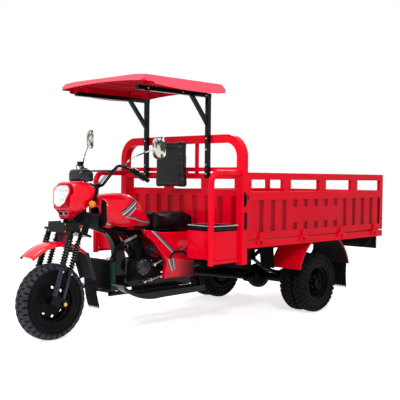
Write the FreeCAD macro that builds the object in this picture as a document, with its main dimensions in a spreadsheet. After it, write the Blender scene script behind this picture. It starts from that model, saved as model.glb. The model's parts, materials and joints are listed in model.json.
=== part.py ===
import FreeCAD, Part
import math
import os

import Sketcher
from FreeCAD import Placement, Rotation, Vector

# Motor cargo tricycle, in millimetres. X points forward, Y to the rider's left, Z up.
# The origin lies on the ground under the middle of the overall length.
# Every size below is a cell of the sheet; a place called "..._back" is a distance behind the
# front axle, and a "..._height" is measured from the ground.
SIZES = {
    # whole vehicle
    "overall_length": 3690,
    "wheelbase": 2357,
    "move_gap": 5,
    "seat_gap": 0.3,
    # tyres and rims
    "front_tyre_diameter": 560,
    "front_tyre_width": 132,
    "rear_tyre_diameter": 530,
    "rear_tyre_width": 118,
    "rear_track_outside": 1400,
    "twin_gap": 19,
    "rim_diameter": 305,
    "tyre_wall": 11,
    "rim_sheet": 4,
    "flange_rise": 13,
    # steering column and fork, measured along and across the steering axis
    "rake": 18.5,
    "steering_back": 200,
    "yoke_height": 750,
    "stem_radius": 14,
    "head_tube_radius": 28,
    "head_tube_low": 24,
    "head_tube_high": 266,
    "yoke_plate": 16,
    "yoke_nose": 24,
    "clamp_radius": 18,
    "strut_lead": 86,
    "strut_spacing": 80,
    "strut_spread": 140,
    "front_strut_radius": 20,
    "rear_strut_radius": 14,
    "strut_length": 500,
    "spring_radius": 29,
    "spring_top": 50,
    "spring_length": 225,
    "axle_radius": 9,
    # front fender
    "fender_centre_back": 33,
    "fender_centre_height": 331,
    "fender_radius": 383,
    "fender_half_width": 80,
    "fender_sheet": 3,
    "fender_skirt": 34,
    "fender_tail_back": 280,
    "fender_tail_top": 622,
    "fender_end_back": 350,
    "fender_end_height": 416,
    # lamp housing, board and instruments
    "nacelle_front_back": 50,
    "nacelle_rear_back": 305,
    "nacelle_half_width": 132,
    "nacelle_low": 868,
    "nacelle_high": 1148,
    "nacelle_wall": 4,
    "lens_half_width": 92,
    "lens_low": 968,
    "lens_high": 1120,
    "board_half_width": 122,
    "board_back": 50,
    "board_depth": 122,
    "board_low": 778,
    "board_high": 854,
    "meter_back": 265,
    "meter_half_width": 78,
    "signal_radius": 28,
    # handlebar
    "bar_radius": 11,
    "bar_clamp_back": 386,
    "bar_clamp_height": 1119,
    "bar_clamp_spread": 50,
    "bar_bend_back": 440,
    "bar_bend_spread": 220,
    "bar_bend_height": 1276,
    "grip_start_back": 540,
    "grip_start_spread": 320,
    "grip_start_height": 1215,
    "grip_end_back": 577,
    "grip_end_spread": 400,
    "grip_end_height": 1158,
    "grip_radius": 17,
    "perch_gap": 46,
    "perch_length": 26,
    "perch_radius": 17,
    "lever_reach": 44,
    "mirror_root_back": 478,
    "mirror_root_spread": 258,
    "mirror_root_height": 1263,
    "mirror_rise": 24,
    "left_mirror_back": 557,
    "left_mirror_spread": 528,
    "left_mirror_height": 1396,
    "right_mirror_back": 695,
    "right_mirror_spread": 450,
    "right_mirror_height": 1496,
    "mirror_wide": 130,
    "mirror_tall": 145,
    # frame
    "backbone_radius": 25,
    "down_tube_half_width": 30,
    "cradle_spread": 130,
    "cradle_radius": 16,
    "cradle_height": 300,
    "rail_spread": 320,
    "rail_width": 40,
    "rail_height": 90,
    "rail_top": 650,
    "beam_low": 500,
    "beam_top": 600,
    # engine, radiator, tank, seat
    "engine_front_back": 716,
    "engine_rear_back": 1000,
    "engine_half_width": 140,
    "engine_top": 600,
    "engine_cover": 16,
    "radiator_back": 430,
    "radiator_depth": 44,
    "radiator_half_width": 140,
    "radiator_low": 335,
    "radiator_high": 555,
    "louvre_count": 12,
    "louvre_depth": 6,
    "louvre_edge": 14,
    "tank_half_width": 150,
    "seat_front_back": 884,
    "seat_rear_back": 1322,
    "seat_half_width": 140,
    "seat_base": 760,
    "back_rest_gap": 54,
    "back_rest_low": 1098,
    "back_rest_high": 1489,
    "back_rest_half_width": 204,
    "side_cover_inside": 180,
    "side_cover_outside": 215,
    "footboard_inside": 215,
    "footboard_outside": 360,
    "footboard_sheet": 6,
    "footboard_rear_back": 1240,
    "footboard_lip": 37,
    "footboard_flat_back": 600,
    "footboard_bend_back": 475,
    "footboard_tip_back": 383,
    "footboard_curl": 88,
    "footboard_arm_radius": 11,
    "gear_pivot_high": 384,
    "kick_pivot_high": 497,
    "lever_boss_radius": 12,
    "lever_radius": 6,
    "gear_arm_out": 44,
    "gear_pad_length": 34,
    "kick_arm_out": 24,
    "brake_arm_out": 62,
    # side seats beside the rider
    "box_front_back": 980,
    "box_width": 295,
    "box_lap": 8,
    "box_low": 560,
    "box_high": 777,
    "cushion_high": 825,
    "guard_radius": 24,
    "guard_inset": 38,
    "guard_back": 950,
    "guard_low": 522,
    "guard_foot_low": 531,
    "guard_foot_high": 557,
    "guard_high": 1222,
    # load bed
    "bed_length": 2057,
    "bed_width": 1438,
    "bed_tail_gap": 24,
    "sill_low": 632,
    "sill_lap": 7,
    "floor_top": 694,
    "floor_sheet": 4,
    "gate_thickness": 34,
    "gate_low": 699,
    "gate_panel_top": 1078,
    "window_high": 1173,
    "gate_top": 1230,
    "gate_post": 52,
    "window_post": 104,
    "window_count": 4,
    "panel_inset": 4,
    "rib_count": 13,
    "rib_front": 180,
    "rib_rear": 60,
    "rib_gap": 62,
    "rib_slope": 9,
    "rib_depth": 12,
    "rib_low": 757,
    "rib_high": 1010,
    "plate_front": 573,
    "plate_rear": 1309,
    "plate_low": 818,
    "plate_high": 948,
    "wall_rib_count": 9,
    "wall_rib_margin": 100,
    "wall_rib_high": 1037,
    "wall_top": 1093,
    "wall_thickness": 30,
    "tailgate_top": 1078,
    "hinge_out": 16,
    "hinge_pin": 6,
    "hinge_barrel": 11,
    "hinge_length": 90,
    # headboard hoop and canopy
    "hoop_depth": 62,
    "hoop_tube": 66,
    "hoop_overhang": 9,
    "hoop_low": 510,
    "hoop_top": 1518,
    "hoop_corner": 150,
    "bar_one_low": 1188,
    "bar_two_low": 1236,
    "bar_inset": 12,
    "picket_spread": 203,
    "bracket_spread": 120,
    "bar_depth": 34,
    "post_spread": 367,
    "post_tube": 34,
    "beam_depth": 34,
    "brace_low": 1600,
    "brace_back": 1040,
    "brace_half_width": 13,
    "post_low": 1180,
    "post_top": 1862,
    "roof_front_back": 430,
    "roof_rear_back": 1330,
    "roof_half_width": 525,
    "roof_top": 1950,
    "roof_shoulder": 1929,
    "roof_slope": 46,
    "side_lip_low": 1841,
    "front_corner_lip": 1876,
    "front_lip_high": 1902,
    "rear_corner_lip": 1858,
    "rear_lip_high": 1886,
    "roof_corner": 80,
    "roof_sheet": 4,
    "bow_depth": 22,
    "bow_width": 30,
    "bow_inset": 150,
    # rear axle, fenders and tail
    "exhaust_port": 650,
    "exhaust_low": 350,
    "exhaust_radius": 17,
    "silencer_back": 1740,
    "silencer_high": 430,
    "silencer_radius": 52,
    "silencer_length": 420,
    "nose_reach": 160,
    "shaft_high": 440,
    "shaft_radius": 24,
    "flange_radius": 38,
    "flange_length": 34,
    "axle_tube_radius": 38,
    "differential_radius": 115,
    "spring_half_length": 470,
    "spring_width": 56,
    "leaf": 8,
    "rear_fender_shift": 58,
    "rear_fender_centre_height": 309,
    "rear_fender_radius": 381,
    "rear_fender_inside": 400,
    "rear_fender_outside": 722,
    "rear_fender_low": 405,
    "tail_low": 505,
}


class Size:
    """A size with its number and the sheet formula that gives it."""

    def __init__(self, number, text):
        self.number = float(number)
        self.text = text

    @staticmethod
    def of(value):
        return value if isinstance(value, Size) else Size(value, repr(value))

    def join(self, other, sign, number):
        return Size(number, f"({self.text} {sign} {Size.of(other).text})")

    def __add__(self, other):
        return self.join(other, "+", self.number + Size.of(other).number)

    def __sub__(self, other):
        return self.join(other, "-", self.number - Size.of(other).number)

    def __mul__(self, other):
        return self.join(other, "*", self.number * Size.of(other).number)

    def __truediv__(self, other):
        return self.join(other, "/", self.number / Size.of(other).number)

    def __radd__(self, other):
        return Size.of(other) + self

    def __rsub__(self, other):
        return Size.of(other) - self

    def __rmul__(self, other):
        return Size.of(other) * self

    def __neg__(self):
        return Size(-self.number, f"(0 - {self.text})")


class Sheet:
    """The sheet of driving dimensions; each alias reads as a Size."""

    def __init__(self, values):
        self.sheet = doc.addObject("Spreadsheet::Sheet", "Sizes")
        self.words = set(values)
        for row, (word, number) in enumerate(values.items(), start=1):
            self.sheet.set(f"A{row}", word.replace("_", " "))
            self.sheet.set(f"B{row}", str(number))
            self.sheet.setAlias(f"B{row}", word)
        doc.recompute()

    def __getattr__(self, word):
        if word not in self.words:
            raise AttributeError(word)
        return Size(self.sheet.get(word), "Sizes." + word)


doc = FreeCAD.newDocument("CargoTricycle")
s = Sheet(SIZES)
pieces = []


# Small building blocks


def bind(item, **properties):
    """Ties each property, such as Length or Placement_Base_x, to a sheet formula."""
    for name, value in properties.items():
        item.setExpression(name.replace("_", "."), Size.of(value).text)


def place(item, x=0, y=0, z=0, rotation=None):
    item.Placement = Placement(Vector(0, 0, 0), rotation or Rotation())
    bind(item, Placement_Base_x=x, Placement_Base_y=y, Placement_Base_z=z)
    return item


def box(name, x, y, z):
    """A box between two places on each axis."""
    item = doc.addObject("Part::Box", name)
    bind(item, Length=Size.of(x[1]) - x[0], Width=Size.of(y[1]) - y[0], Height=Size.of(z[1]) - z[0])
    return place(item, x[0], y[0], z[0])


ALONG_X = Rotation(Vector(0, 1, 0), 90)
ALONG_Y = Rotation(Vector(1, 0, 0), -90)
ALONG_Z = Rotation()


def cylinder(name, radius, length, at, along=ALONG_Z):
    """A cylinder that starts at a point and runs along an axis."""
    item = doc.addObject("Part::Cylinder", name)
    bind(item, Radius=radius, Height=length)
    return place(item, *at, rotation=along)


def outline(name, points):
    """A closed sketch; a point given as a list of two pairs is an arc through the first to the second."""
    sketch = doc.addObject("Sketcher::SketchObject", name)
    ends = [point[1] if isinstance(point, list) else point for point in points]
    flat = numbers([(u, v, 0) for u, v in ends])
    backward = []
    for index, point in enumerate(points):
        start, end = flat[index - 1], flat[index]
        if isinstance(point, list):
            middle = numbers([(*point[0], 0)])[0]
            clockwise = (middle - start).cross(end - start).z < 0
            arc = Part.Arc(end, middle, start) if clockwise else Part.Arc(start, middle, end)
            sketch.addGeometry(arc, False)
        else:
            clockwise = False
            sketch.addGeometry(Part.LineSegment(start, end), False)
        backward.append(clockwise)
    for index in range(len(points)):
        following = (index + 1) % len(points)
        finish = 1 if backward[index] else 2
        begin = 2 if backward[following] else 1
        fix_point(sketch, index, finish, ends[index])
        sketch.addConstraint(Sketcher.Constraint("Coincident", index, finish, following, begin))
    for index, point in enumerate(points):
        if isinstance(point, list):
            dot = sketch.addGeometry(Part.Point(numbers([(*point[0], 0)])[0]), True)
            fix_point(sketch, dot, 1, point[0])
            sketch.addConstraint(Sketcher.Constraint("PointOnObject", dot, 1, index))
    return sketch


def fix_point(sketch, index, end, place_in_plane):
    """Ties one end of a sketch edge to two sheet formulas."""
    for axis, value in zip(("DistanceX", "DistanceY"), place_in_plane):
        size = Size.of(value)
        row = sketch.addConstraint(Sketcher.Constraint(axis, -1, 1, index, end, size.number))
        sketch.setExpression(f"Constraints[{row}]", size.text)


PLANES = {
    "XZ": Rotation(Vector(1, 0, 0), 90),
    "YZ": Rotation(Vector(1, 1, 1), 120),
    "XY": Rotation(),
}


def prism(name, plane, points, low, high):
    """A flat outline pushed out along the axis square to its plane, from low to high."""
    sketch = outline(name + "_outline", points)
    start = {"XZ": dict(y=high), "YZ": dict(x=low), "XY": dict(z=low)}[plane]
    place(sketch, rotation=PLANES[plane], **start)
    item = doc.addObject("Part::Extrusion", name)
    item.Base = sketch
    item.DirMode = "Normal"
    item.Solid = True
    bind(item, LengthFwd=Size.of(high) - low)
    return item


def turned(name, points, x, z, y=0):
    """An outline of (place along Y, radius) turned about a line along Y."""
    sketch = outline(name + "_outline", points)
    place(sketch, x, y, z, PLANES["YZ"])
    item = doc.addObject("Part::Revolution", name)
    item.Source = sketch
    item.Axis = Vector(0, 1, 0)
    item.Solid = True
    bind(item, Base_x=x, Base_z=z)
    return item


def fuse(name, items):
    item = doc.addObject("Part::MultiFuse", name)
    item.Shapes = items
    item.Refine = True
    return item


def cut(name, base, tools):
    item = doc.addObject("Part::Cut", name)
    item.Base = base
    item.Tool = tools[0] if len(tools) == 1 else fuse(name + "_tools", tools)
    return item


def common(name, first, second):
    item = doc.addObject("Part::Common", name)
    item.Base = first
    item.Tool = second
    return item


def group(name, items):
    """Solids that don't touch, kept in one sub-part."""
    item = doc.addObject("Part::Compound", name)
    item.Links = items
    return item


def mirrored(name, item):
    """The same piece on the other side of the vehicle."""
    other = doc.addObject("Part::Mirroring", name)
    other.Source = item
    other.Normal = Vector(0, 1, 0)
    return other


def rounded(name, item, radius, wanted):
    """Rounds the edges that a test on the edge picks."""
    item.recompute(True)
    chosen = [n for n, edge in enumerate(item.Shape.Edges, start=1) if wanted(edge)]
    size = Size.of(radius).number
    result = doc.addObject("Part::Fillet", name)
    result.Base = item
    result.Edges = [(n, size, size) for n in chosen]
    return result


def lies_along(axis):
    """A test for straight edges along an axis."""
    direction = {"X": Vector(1, 0, 0), "Y": Vector(0, 1, 0), "Z": Vector(0, 0, 1)}[axis]

    def wanted(edge):
        if not isinstance(edge.Curve, Part.Line):
            return False
        return abs(edge.Curve.Direction.dot(direction)) > 0.999

    return wanted


def numbers(points):
    return [Vector(*(Size.of(value).number for value in point)) for point in points]


def bent_path(points, bend):
    """Straight runs through the points, joined by tangent arcs of one radius."""
    corners = numbers(points)
    edges = []
    start = corners[0]
    for before, corner, after in zip(corners, corners[1:], corners[2:]):
        inward = (before - corner).normalize()
        onward = (after - corner).normalize()
        turn = math.pi - inward.getAngle(onward)
        reach = Size.of(bend).number * math.tan(turn / 2)
        first = corner + inward * reach
        last = corner + onward * reach
        bisector = (inward + onward).normalize()
        middle = corner + bisector * (Size.of(bend).number / math.cos(turn / 2) - Size.of(bend).number)
        if start.distanceToPoint(first) > 1e-6:
            edges.append(Part.LineSegment(start, first).toShape())
        edges.append(Part.Arc(first, middle, last).toShape())
        start = last
    edges.append(Part.LineSegment(start, corners[-1]).toShape())
    return Part.Wire(edges)


def tube(name, points, radius, bend=60, square=None):
    """A bent tube through the points, round or, with (width, height), square."""
    path = bent_path(points, bend)
    start, direction = path.Edges[0].Vertexes[0].Point, path.Edges[0].tangentAt(path.Edges[0].FirstParameter)
    if square:
        half, tall = (Size.of(value).number / 2 for value in square)
        corners = [Vector(u * half, v * tall, 0) for u, v in ((-1, -1), (1, -1), (1, 1), (-1, 1))]
        section = Part.makePolygon(corners + corners[:1])
        across = Vector(0, 1, 0) if abs(direction.y) < 0.9 else Vector(1, 0, 0)
        section.Placement = Placement(start, Rotation(across, Vector(), direction, "ZXY"))
    else:
        section = Part.Wire(Part.makeCircle(Size.of(radius).number, start, direction))
    item = doc.addObject("Part::Feature", name)
    item.Shape = path.makePipeShell([section], True, False)
    return item


def piece(name, item):
    """Names a finished sub-part and keeps it for writing."""
    item.Label = name
    pieces.append(item)
    return item


# Places that several pieces share

front_axle_x = s.overall_length / 2 - s.front_tyre_diameter / 2
front_axle_z = s.front_tyre_diameter / 2
rear_axle_x = front_axle_x - s.wheelbase
rear_axle_z = s.rear_tyre_diameter / 2
bed_rear = s.bed_tail_gap - s.overall_length / 2
bed_front = bed_rear + s.bed_length
bed_side = s.bed_width / 2
hoop_half = bed_side + s.hoop_overhang
guard_y = hoop_half - s.guard_inset
box_outside = guard_y + s.box_lap
box_inside = box_outside - s.box_width
hoop_front = bed_front + s.hoop_depth
rim_radius = s.rim_diameter / 2
outer_wheel_y = s.rear_track_outside / 2 - s.rear_tyre_width / 2
inner_wheel_y = outer_wheel_y - s.rear_tyre_width - s.twin_gap
twin_middle_y = outer_wheel_y / 2 + inner_wheel_y / 2


def behind(distance):
    """A place behind the front axle."""
    return front_axle_x - distance


def tilted(item):
    """Sets a piece that is drawn along an upright steering axis at the real rake."""
    raked = group(item.Name + "_raked", [item])
    raked.Placement = Placement(Vector(0, 0, 0), Rotation(Vector(0, 1, 0), -s.rake.number))
    raked.setExpression("Placement.Rotation.Angle", f"0 - {s.rake.text}")
    bind(raked, Placement_Base_x=behind(s.steering_back), Placement_Base_z=s.yoke_height)
    return raked


def along_steering(x, z, y=0):
    """World place of a point given in the steering axis's own frame."""
    angle = math.radians(s.rake.number)
    across, up = Size.of(x).number, Size.of(z).number
    return (
        behind(s.steering_back).number + across * math.cos(angle) - up * math.sin(angle),
        Size.of(y).number,
        s.yoke_height.number + across * math.sin(angle) + up * math.cos(angle),
    )


# Wheels


def tyre(name, x, y, z, diameter, width):
    """A hollow tyre: bulged side walls, a slightly round tread and an open bead."""
    outside = diameter / 2
    bead = width * 0.36
    tread = width * 0.42
    middle = rim_radius * 0.55 + outside * 0.45
    shoulder = outside - 9
    wall = s.tyre_wall
    lip = rim_radius + s.flange_rise + 2
    points = [
        (-bead, rim_radius),
        (-bead, lip),
        [(-(width / 2), middle), (-tread, shoulder)],
        [(0, outside), (tread, shoulder)],
        [(width / 2, middle), (bead, lip)],
        (bead, rim_radius),
        (bead - wall, rim_radius),
        [(width / 2 - wall, middle), (tread - wall, shoulder - wall)],
        [(0, outside - wall - 3), (wall - tread, shoulder - wall)],
        [(wall - width / 2, middle), (wall - bead, rim_radius)],
    ]
    return turned(name, points, x, z, y)


def rim(name, x, y, z, width):
    """A pressed rim with bead seats, flanges and a drop centre."""
    bead = width * 0.36 + s.seat_gap
    seat = rim_radius - s.seat_gap
    lip = rim_radius + s.flange_rise
    sheet = s.rim_sheet
    well = seat - 18
    points = [
        (-bead - sheet, lip),
        (-bead, lip),
        (-bead, seat),
        (-(bead * 0.5), seat),
        (-(bead * 0.36), well),
        (bead * 0.36, well),
        (bead * 0.5, seat),
        (bead, seat),
        (bead, lip),
        (bead + sheet, lip),
        (bead + sheet, seat - sheet),
        (bead * 0.56, seat - sheet),
        (bead * 0.42, well - sheet),
        (-(bead * 0.42), well - sheet),
        (-(bead * 0.56), seat - sheet),
        (-bead - sheet, seat - sheet),
    ]
    return turned(name, points, x, z, y)


def disc(name, x, z, y_rim, y_hub, face, hub):
    """A dished wheel disc from the drop centre in to the hub face."""
    outer = rim_radius - s.seat_gap - 20
    sheet = s.rim_sheet
    points = [
        (y_rim, outer),
        (y_rim + sheet, outer),
        (y_hub + sheet, face),
        (y_hub + sheet, hub),
        (y_hub, hub),
        (y_hub, face),
    ]
    return turned(name, points, x, z)


def ring_of_holes(name, x, z, pitch, radius, count, low, high):
    """Round holes on a circle, along Y."""
    holes = []
    for index in range(count):
        angle = 2 * math.pi * index / count
        at = (x + pitch * math.cos(angle), low, z + pitch * math.sin(angle))
        holes.append(cylinder(f"{name}_{index + 1}", radius, Size.of(high) - low, at, ALONG_Y))
    return holes


def front_wheel():
    x, z = front_axle_x, front_axle_z
    piece("front_tyre", tyre("front_tyre", x, 0, z, s.front_tyre_diameter, s.front_tyre_width))
    parts = [
        rim("front_rim_barrel", x, 0, z, s.front_tyre_width),
        disc("front_disc", x, z, Size.of(2), Size.of(22), 78, 20),
        cylinder("front_hub", 30, 120, (x, -60, z), ALONG_Y),
        cylinder("front_drum", 92, 44, (x, -56, z), ALONG_Y),
    ]
    body = fuse("front_wheel_body", parts)
    holes = ring_of_holes("front_hole", x, z, 104, 11, 8, -20, 60)
    bore = cylinder("front_bore", s.axle_radius + s.seat_gap, 200, (x, -100, z), ALONG_Y)
    piece("front_rim", cut("front_rim", body, holes + [bore]))


def rear_wheels():
    x, z = rear_axle_x, rear_axle_z
    tyres = [
        tyre("rear_tyre_outer", x, outer_wheel_y, z, s.rear_tyre_diameter, s.rear_tyre_width),
        tyre("rear_tyre_inner", x, inner_wheel_y, z, s.rear_tyre_diameter, s.rear_tyre_width),
    ]
    left = piece("rear_tyres_left", group("rear_tyres_left", tyres))
    piece("rear_tyres_right", mirrored("rear_tyres_right", left))
    sheet = s.rim_sheet
    parts = [
        rim("rear_rim_outer", x, outer_wheel_y, z, s.rear_tyre_width),
        rim("rear_rim_inner", x, inner_wheel_y, z, s.rear_tyre_width),
        disc("rear_disc_outer", x, z, outer_wheel_y - sheet / 2, twin_middle_y, 92, 22),
        disc("rear_disc_inner", x, z, inner_wheel_y - sheet / 2, twin_middle_y - sheet, 92, 22),
        cylinder("rear_hub", 44, 136, (x, twin_middle_y - 104, z), ALONG_Y),
        cylinder("rear_drum", 108, 88, (x, twin_middle_y - 104, z), ALONG_Y),
    ]
    body = fuse("rear_wheel_body", parts)
    holes = ring_of_holes("rear_hole", x, z, 112, 10, 8, outer_wheel_y - 70, outer_wheel_y + 70)
    bore = cylinder("rear_bore", 20 + s.seat_gap, 400, (x, inner_wheel_y - 150, z), ALONG_Y)
    left = piece("rear_rims_left", cut("rear_rims_left", body, holes + [bore]))
    piece("rear_rims_right", mirrored("rear_rims_right", left))


# Fork, front fender, lamp housing and handlebar


def fork():
    """Yoke plates, stem, two pairs of struts and the axle between their lugs."""
    lead, half = s.strut_lead, s.strut_spacing / 2
    spread = s.strut_spread
    struts = (("front", lead + half, s.front_strut_radius), ("rear", lead - half, s.rear_strut_radius))
    reach = spread + 34
    ear = s.nacelle_half_width - s.nacelle_wall - s.seat_gap
    plate = (s.head_tube_high + 8, s.head_tube_high + 22)
    parts = [
        box("yoke_low", (-30, lead + half + s.yoke_nose), (-reach, reach), (0, s.yoke_plate)),
        cylinder("stem", s.stem_radius, s.head_tube_high + 24, (0, 0, 0)),
        rounded("yoke_high", box("yoke_high_plate", (-84, 30), (-72, 72), plate), 24, lies_along("Z")),
    ]
    axle_x, axle_z = in_steering_frame(0, front_axle_z)
    clamp_x, clamp_z = in_steering_frame(s.bar_clamp_back, s.bar_clamp_height)
    for side, sign in (("left", 1), ("right", -1)):
        y = spread * sign
        for station, x, radius in struts:
            name = f"strut_{side}_{station}"
            parts.append(cylinder(name, radius, s.strut_length, (x, y, -s.strut_length)))
            name = f"spring_seat_{side}_{station}"
            at = (x, y, -s.spring_top - s.spring_length - 12)
            parts.append(cylinder(name, s.spring_radius, 12, at))
        lug = box(
            f"lug_{side}",
            (axle_x - 24, lead + half + 22),
            (y - 16, y + 16),
            (-s.strut_length - 36, 26 - s.strut_length),
        )
        parts.append(lug)
        low = s.head_tube_high + 20
        at = (clamp_x, s.bar_clamp_spread * sign, low)
        parts.append(cylinder(f"riser_{side}", 13, clamp_z - s.clamp_radius - s.seat_gap - low, at))
        wall = (ear - 6, ear) if sign > 0 else (-ear, 6 - ear)
        parts.append(box(f"lamp_ear_{side}", (-24, 36), wall, (s.yoke_plate - 2, 176)))
    at = (axle_x, -spread - 30, axle_z)
    parts.append(cylinder("front_axle", s.axle_radius, spread * 2 + 60, at, ALONG_Y))
    piece("fork", tilted(fuse("fork_body", parts)))
    springs = []
    for side, sign in (("left", 1), ("right", -1)):
        for station, x, radius in struts:
            at = (x, s.strut_spread * sign, -s.spring_top - s.spring_length)
            solid = cylinder(f"spring_{side}_{station}", s.spring_radius, s.spring_length, at)
            hole = cylinder(f"spring_hole_{side}_{station}", radius + s.seat_gap, s.spring_length, at)
            springs.append(cut(f"spring_ring_{side}_{station}", solid, [hole]))
    piece("fork_springs", tilted(group("spring_set", springs)))


def in_steering_frame(back, height):
    """A world place, as distance behind the axle and height, in the steering axis's own frame."""
    angle = math.radians(s.rake.number)
    ahead = s.steering_back.number - Size.of(back).number
    above = Size.of(height).number - s.yoke_height.number
    return (
        ahead * math.cos(angle) + above * math.sin(angle),
        above * math.cos(angle) - ahead * math.sin(angle),
    )


def front_fender():
    """A bent sheet with side skirts over the wheel, a straight tail and a rubber flap."""
    x, z = behind(s.fender_centre_back), s.fender_centre_height
    half, sheet, skirt = s.fender_half_width, s.fender_sheet, s.fender_skirt
    outer = s.fender_radius
    points = [
        (-half, outer - skirt),
        [(-(half * 0.86), outer - skirt * 0.3), (-(half * 0.5), outer - 4)],
        [(0, outer), (half * 0.5, outer - 4)],
        [(half * 0.86, outer - skirt * 0.3), (half, outer - skirt)],
        (half - sheet, outer - skirt),
        [(half * 0.86 - sheet, outer - skirt * 0.3 - sheet), (half * 0.5, outer - 4 - sheet)],
        [(0, outer - sheet), (-(half * 0.5), outer - 4 - sheet)],
        [(sheet - half * 0.86, outer - skirt * 0.3 - sheet), (sheet - half, outer - skirt)],
    ]
    hoop = turned("front_fender_hoop", points, x, z)
    keep = prism(
        "front_fender_keep",
        "XZ",
        [(x, z), (x + 500, z + 563), (x - 417, z + 509)],
        -half - 1,
        half + 1,
    )
    shell = common("front_fender_shell", hoop, keep)
    top, end = (behind(s.fender_tail_back), s.fender_tail_top), (behind(s.fender_end_back), s.fender_end_height)
    deep, drop = 32, 11
    block = [top, (top[0] + deep, top[1] - drop), (end[0] + deep, end[1] - drop), end]
    tail = prism("fender_tail_block", "XZ", block, -half, half)
    room = prism(
        "fender_tail_room",
        "XZ",
        [
            (top[0] + 4, top[1] + 2),
            (top[0] + 60, top[1] - 18),
            (end[0] + 60, end[1] - 34),
            (end[0] + 2, end[1] - 8),
        ],
        sheet - half,
        half - sheet,
    )
    bridge = box(
        "fender_bridge",
        (behind(135), behind(75)),
        (-34, 34),
        (s.fender_centre_height + outer - 14, s.yoke_height + 90),
    )
    stay = cut("fender_stay", bridge, [fork_shadow()])
    piece("front_fender", fuse("front_fender", [shell, cut("fender_tail", tail, [room]), stay]))
    high = end[1] - s.seat_gap
    flap = prism(
        "front_flap_sheet",
        "XZ",
        [(end[0], high), (end[0] + 5, high - 1.8), (behind(396), 180), (behind(401), 180)],
        8 - half,
        half - 8,
    )
    piece("front_mud_flap", flap)


def fork_shadow():
    """The space from the yoke plate up, which what hangs under it stops at."""
    reach = s.strut_spread + 34
    plate = box("yoke_shadow", (-60, s.strut_lead + 120), (-reach, reach), (-s.seat_gap, s.yoke_plate + 200))
    return tilted(plate)


def lamp_housing():
    """The red housing round the lamp, with a mask lip, open behind and below."""
    front, rear = behind(s.nacelle_front_back), behind(s.nacelle_rear_back)
    low, high = s.nacelle_low, s.nacelle_high
    half = s.nacelle_half_width

    def side(grow):
        return [
            (front - 36 - grow, low + grow),
            (front - grow, low + 62),
            [(front - 14 - grow, high - 120), (front - 92, high - 8 - grow)],
            [(front - 150, high - grow), (rear - 1, high - 34 - grow)],
            (rear - 1, low + 40 + grow),
        ]

    def plan(grow):
        edge = half - grow
        nose = front - grow
        return [
            (rear - 1, -edge),
            (nose - 76, -edge),
            [(nose - 24, 18 - edge), (nose, 66 - edge)],
            (nose, edge - 66),
            [(nose - 24, edge - 18), (nose - 76, edge)],
            (rear - 1, edge),
        ]

    def form(name, grow):
        along = prism(name + "_side", "XZ", side(grow), -half - 1, half + 1)
        over = prism(name + "_plan", "XY", plan(grow), low - 20, high + 20)
        return common(name, along, over)

    soft = form("nacelle_outside", Size.of(0))
    room = form("nacelle_room", s.nacelle_wall)
    inside = half - s.nacelle_wall
    back = box("nacelle_back", (rear - 60, rear + 26), (-inside, inside), (low - 10, high - 44))
    under = box("nacelle_under", (rear - 10, front - 60), (-inside, inside), (low - 10, low + 60))
    lens_room = prism(
        "lens_room",
        "YZ",
        lens_outline(Size.of(0)),
        front - 110,
        front + 20,
    )
    shell = cut("headlight_nacelle", soft, [room, back, under, lens_room])
    piece("headlight_nacelle", shell)
    lens = prism("lens_block", "YZ", lens_outline(s.seat_gap), front - 106, front + 20)
    piece("headlight_lens", common("headlight_lens", lens, lens_face()))


def lens_outline(shrink):
    half = s.lens_half_width - shrink
    return [
        [(-(half * 0.99), s.lens_low + 60), (-(half * 0.72), s.lens_low + shrink)],
        [(0, s.lens_low - 8 + shrink), (half * 0.72, s.lens_low + shrink)],
        [(half * 0.99, s.lens_low + 60), (half, s.lens_high - 34)],
        [(half * 0.86, s.lens_high - 6 - shrink), (half * 0.6, s.lens_high - shrink)],
        [(0, s.lens_high + 6 - shrink), (-(half * 0.6), s.lens_high - shrink)],
        [(-(half * 0.86), s.lens_high - 6 - shrink), (-half, s.lens_high - 34)],
    ]


def lens_face():
    """The lens's curved front: it leans back with the housing."""
    front = behind(s.nacelle_front_back)
    high = s.nacelle_high
    points = [
        (front - 104, s.lens_low - 20),
        (front - 4, s.lens_low - 20),
        [(front - 17, high - 120), (front - 80, s.lens_high + 20)],
        (front - 104, s.lens_high + 20),
    ]
    return prism("lens_face", "XZ", points, -s.lens_half_width - 4, s.lens_half_width + 4)


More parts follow.
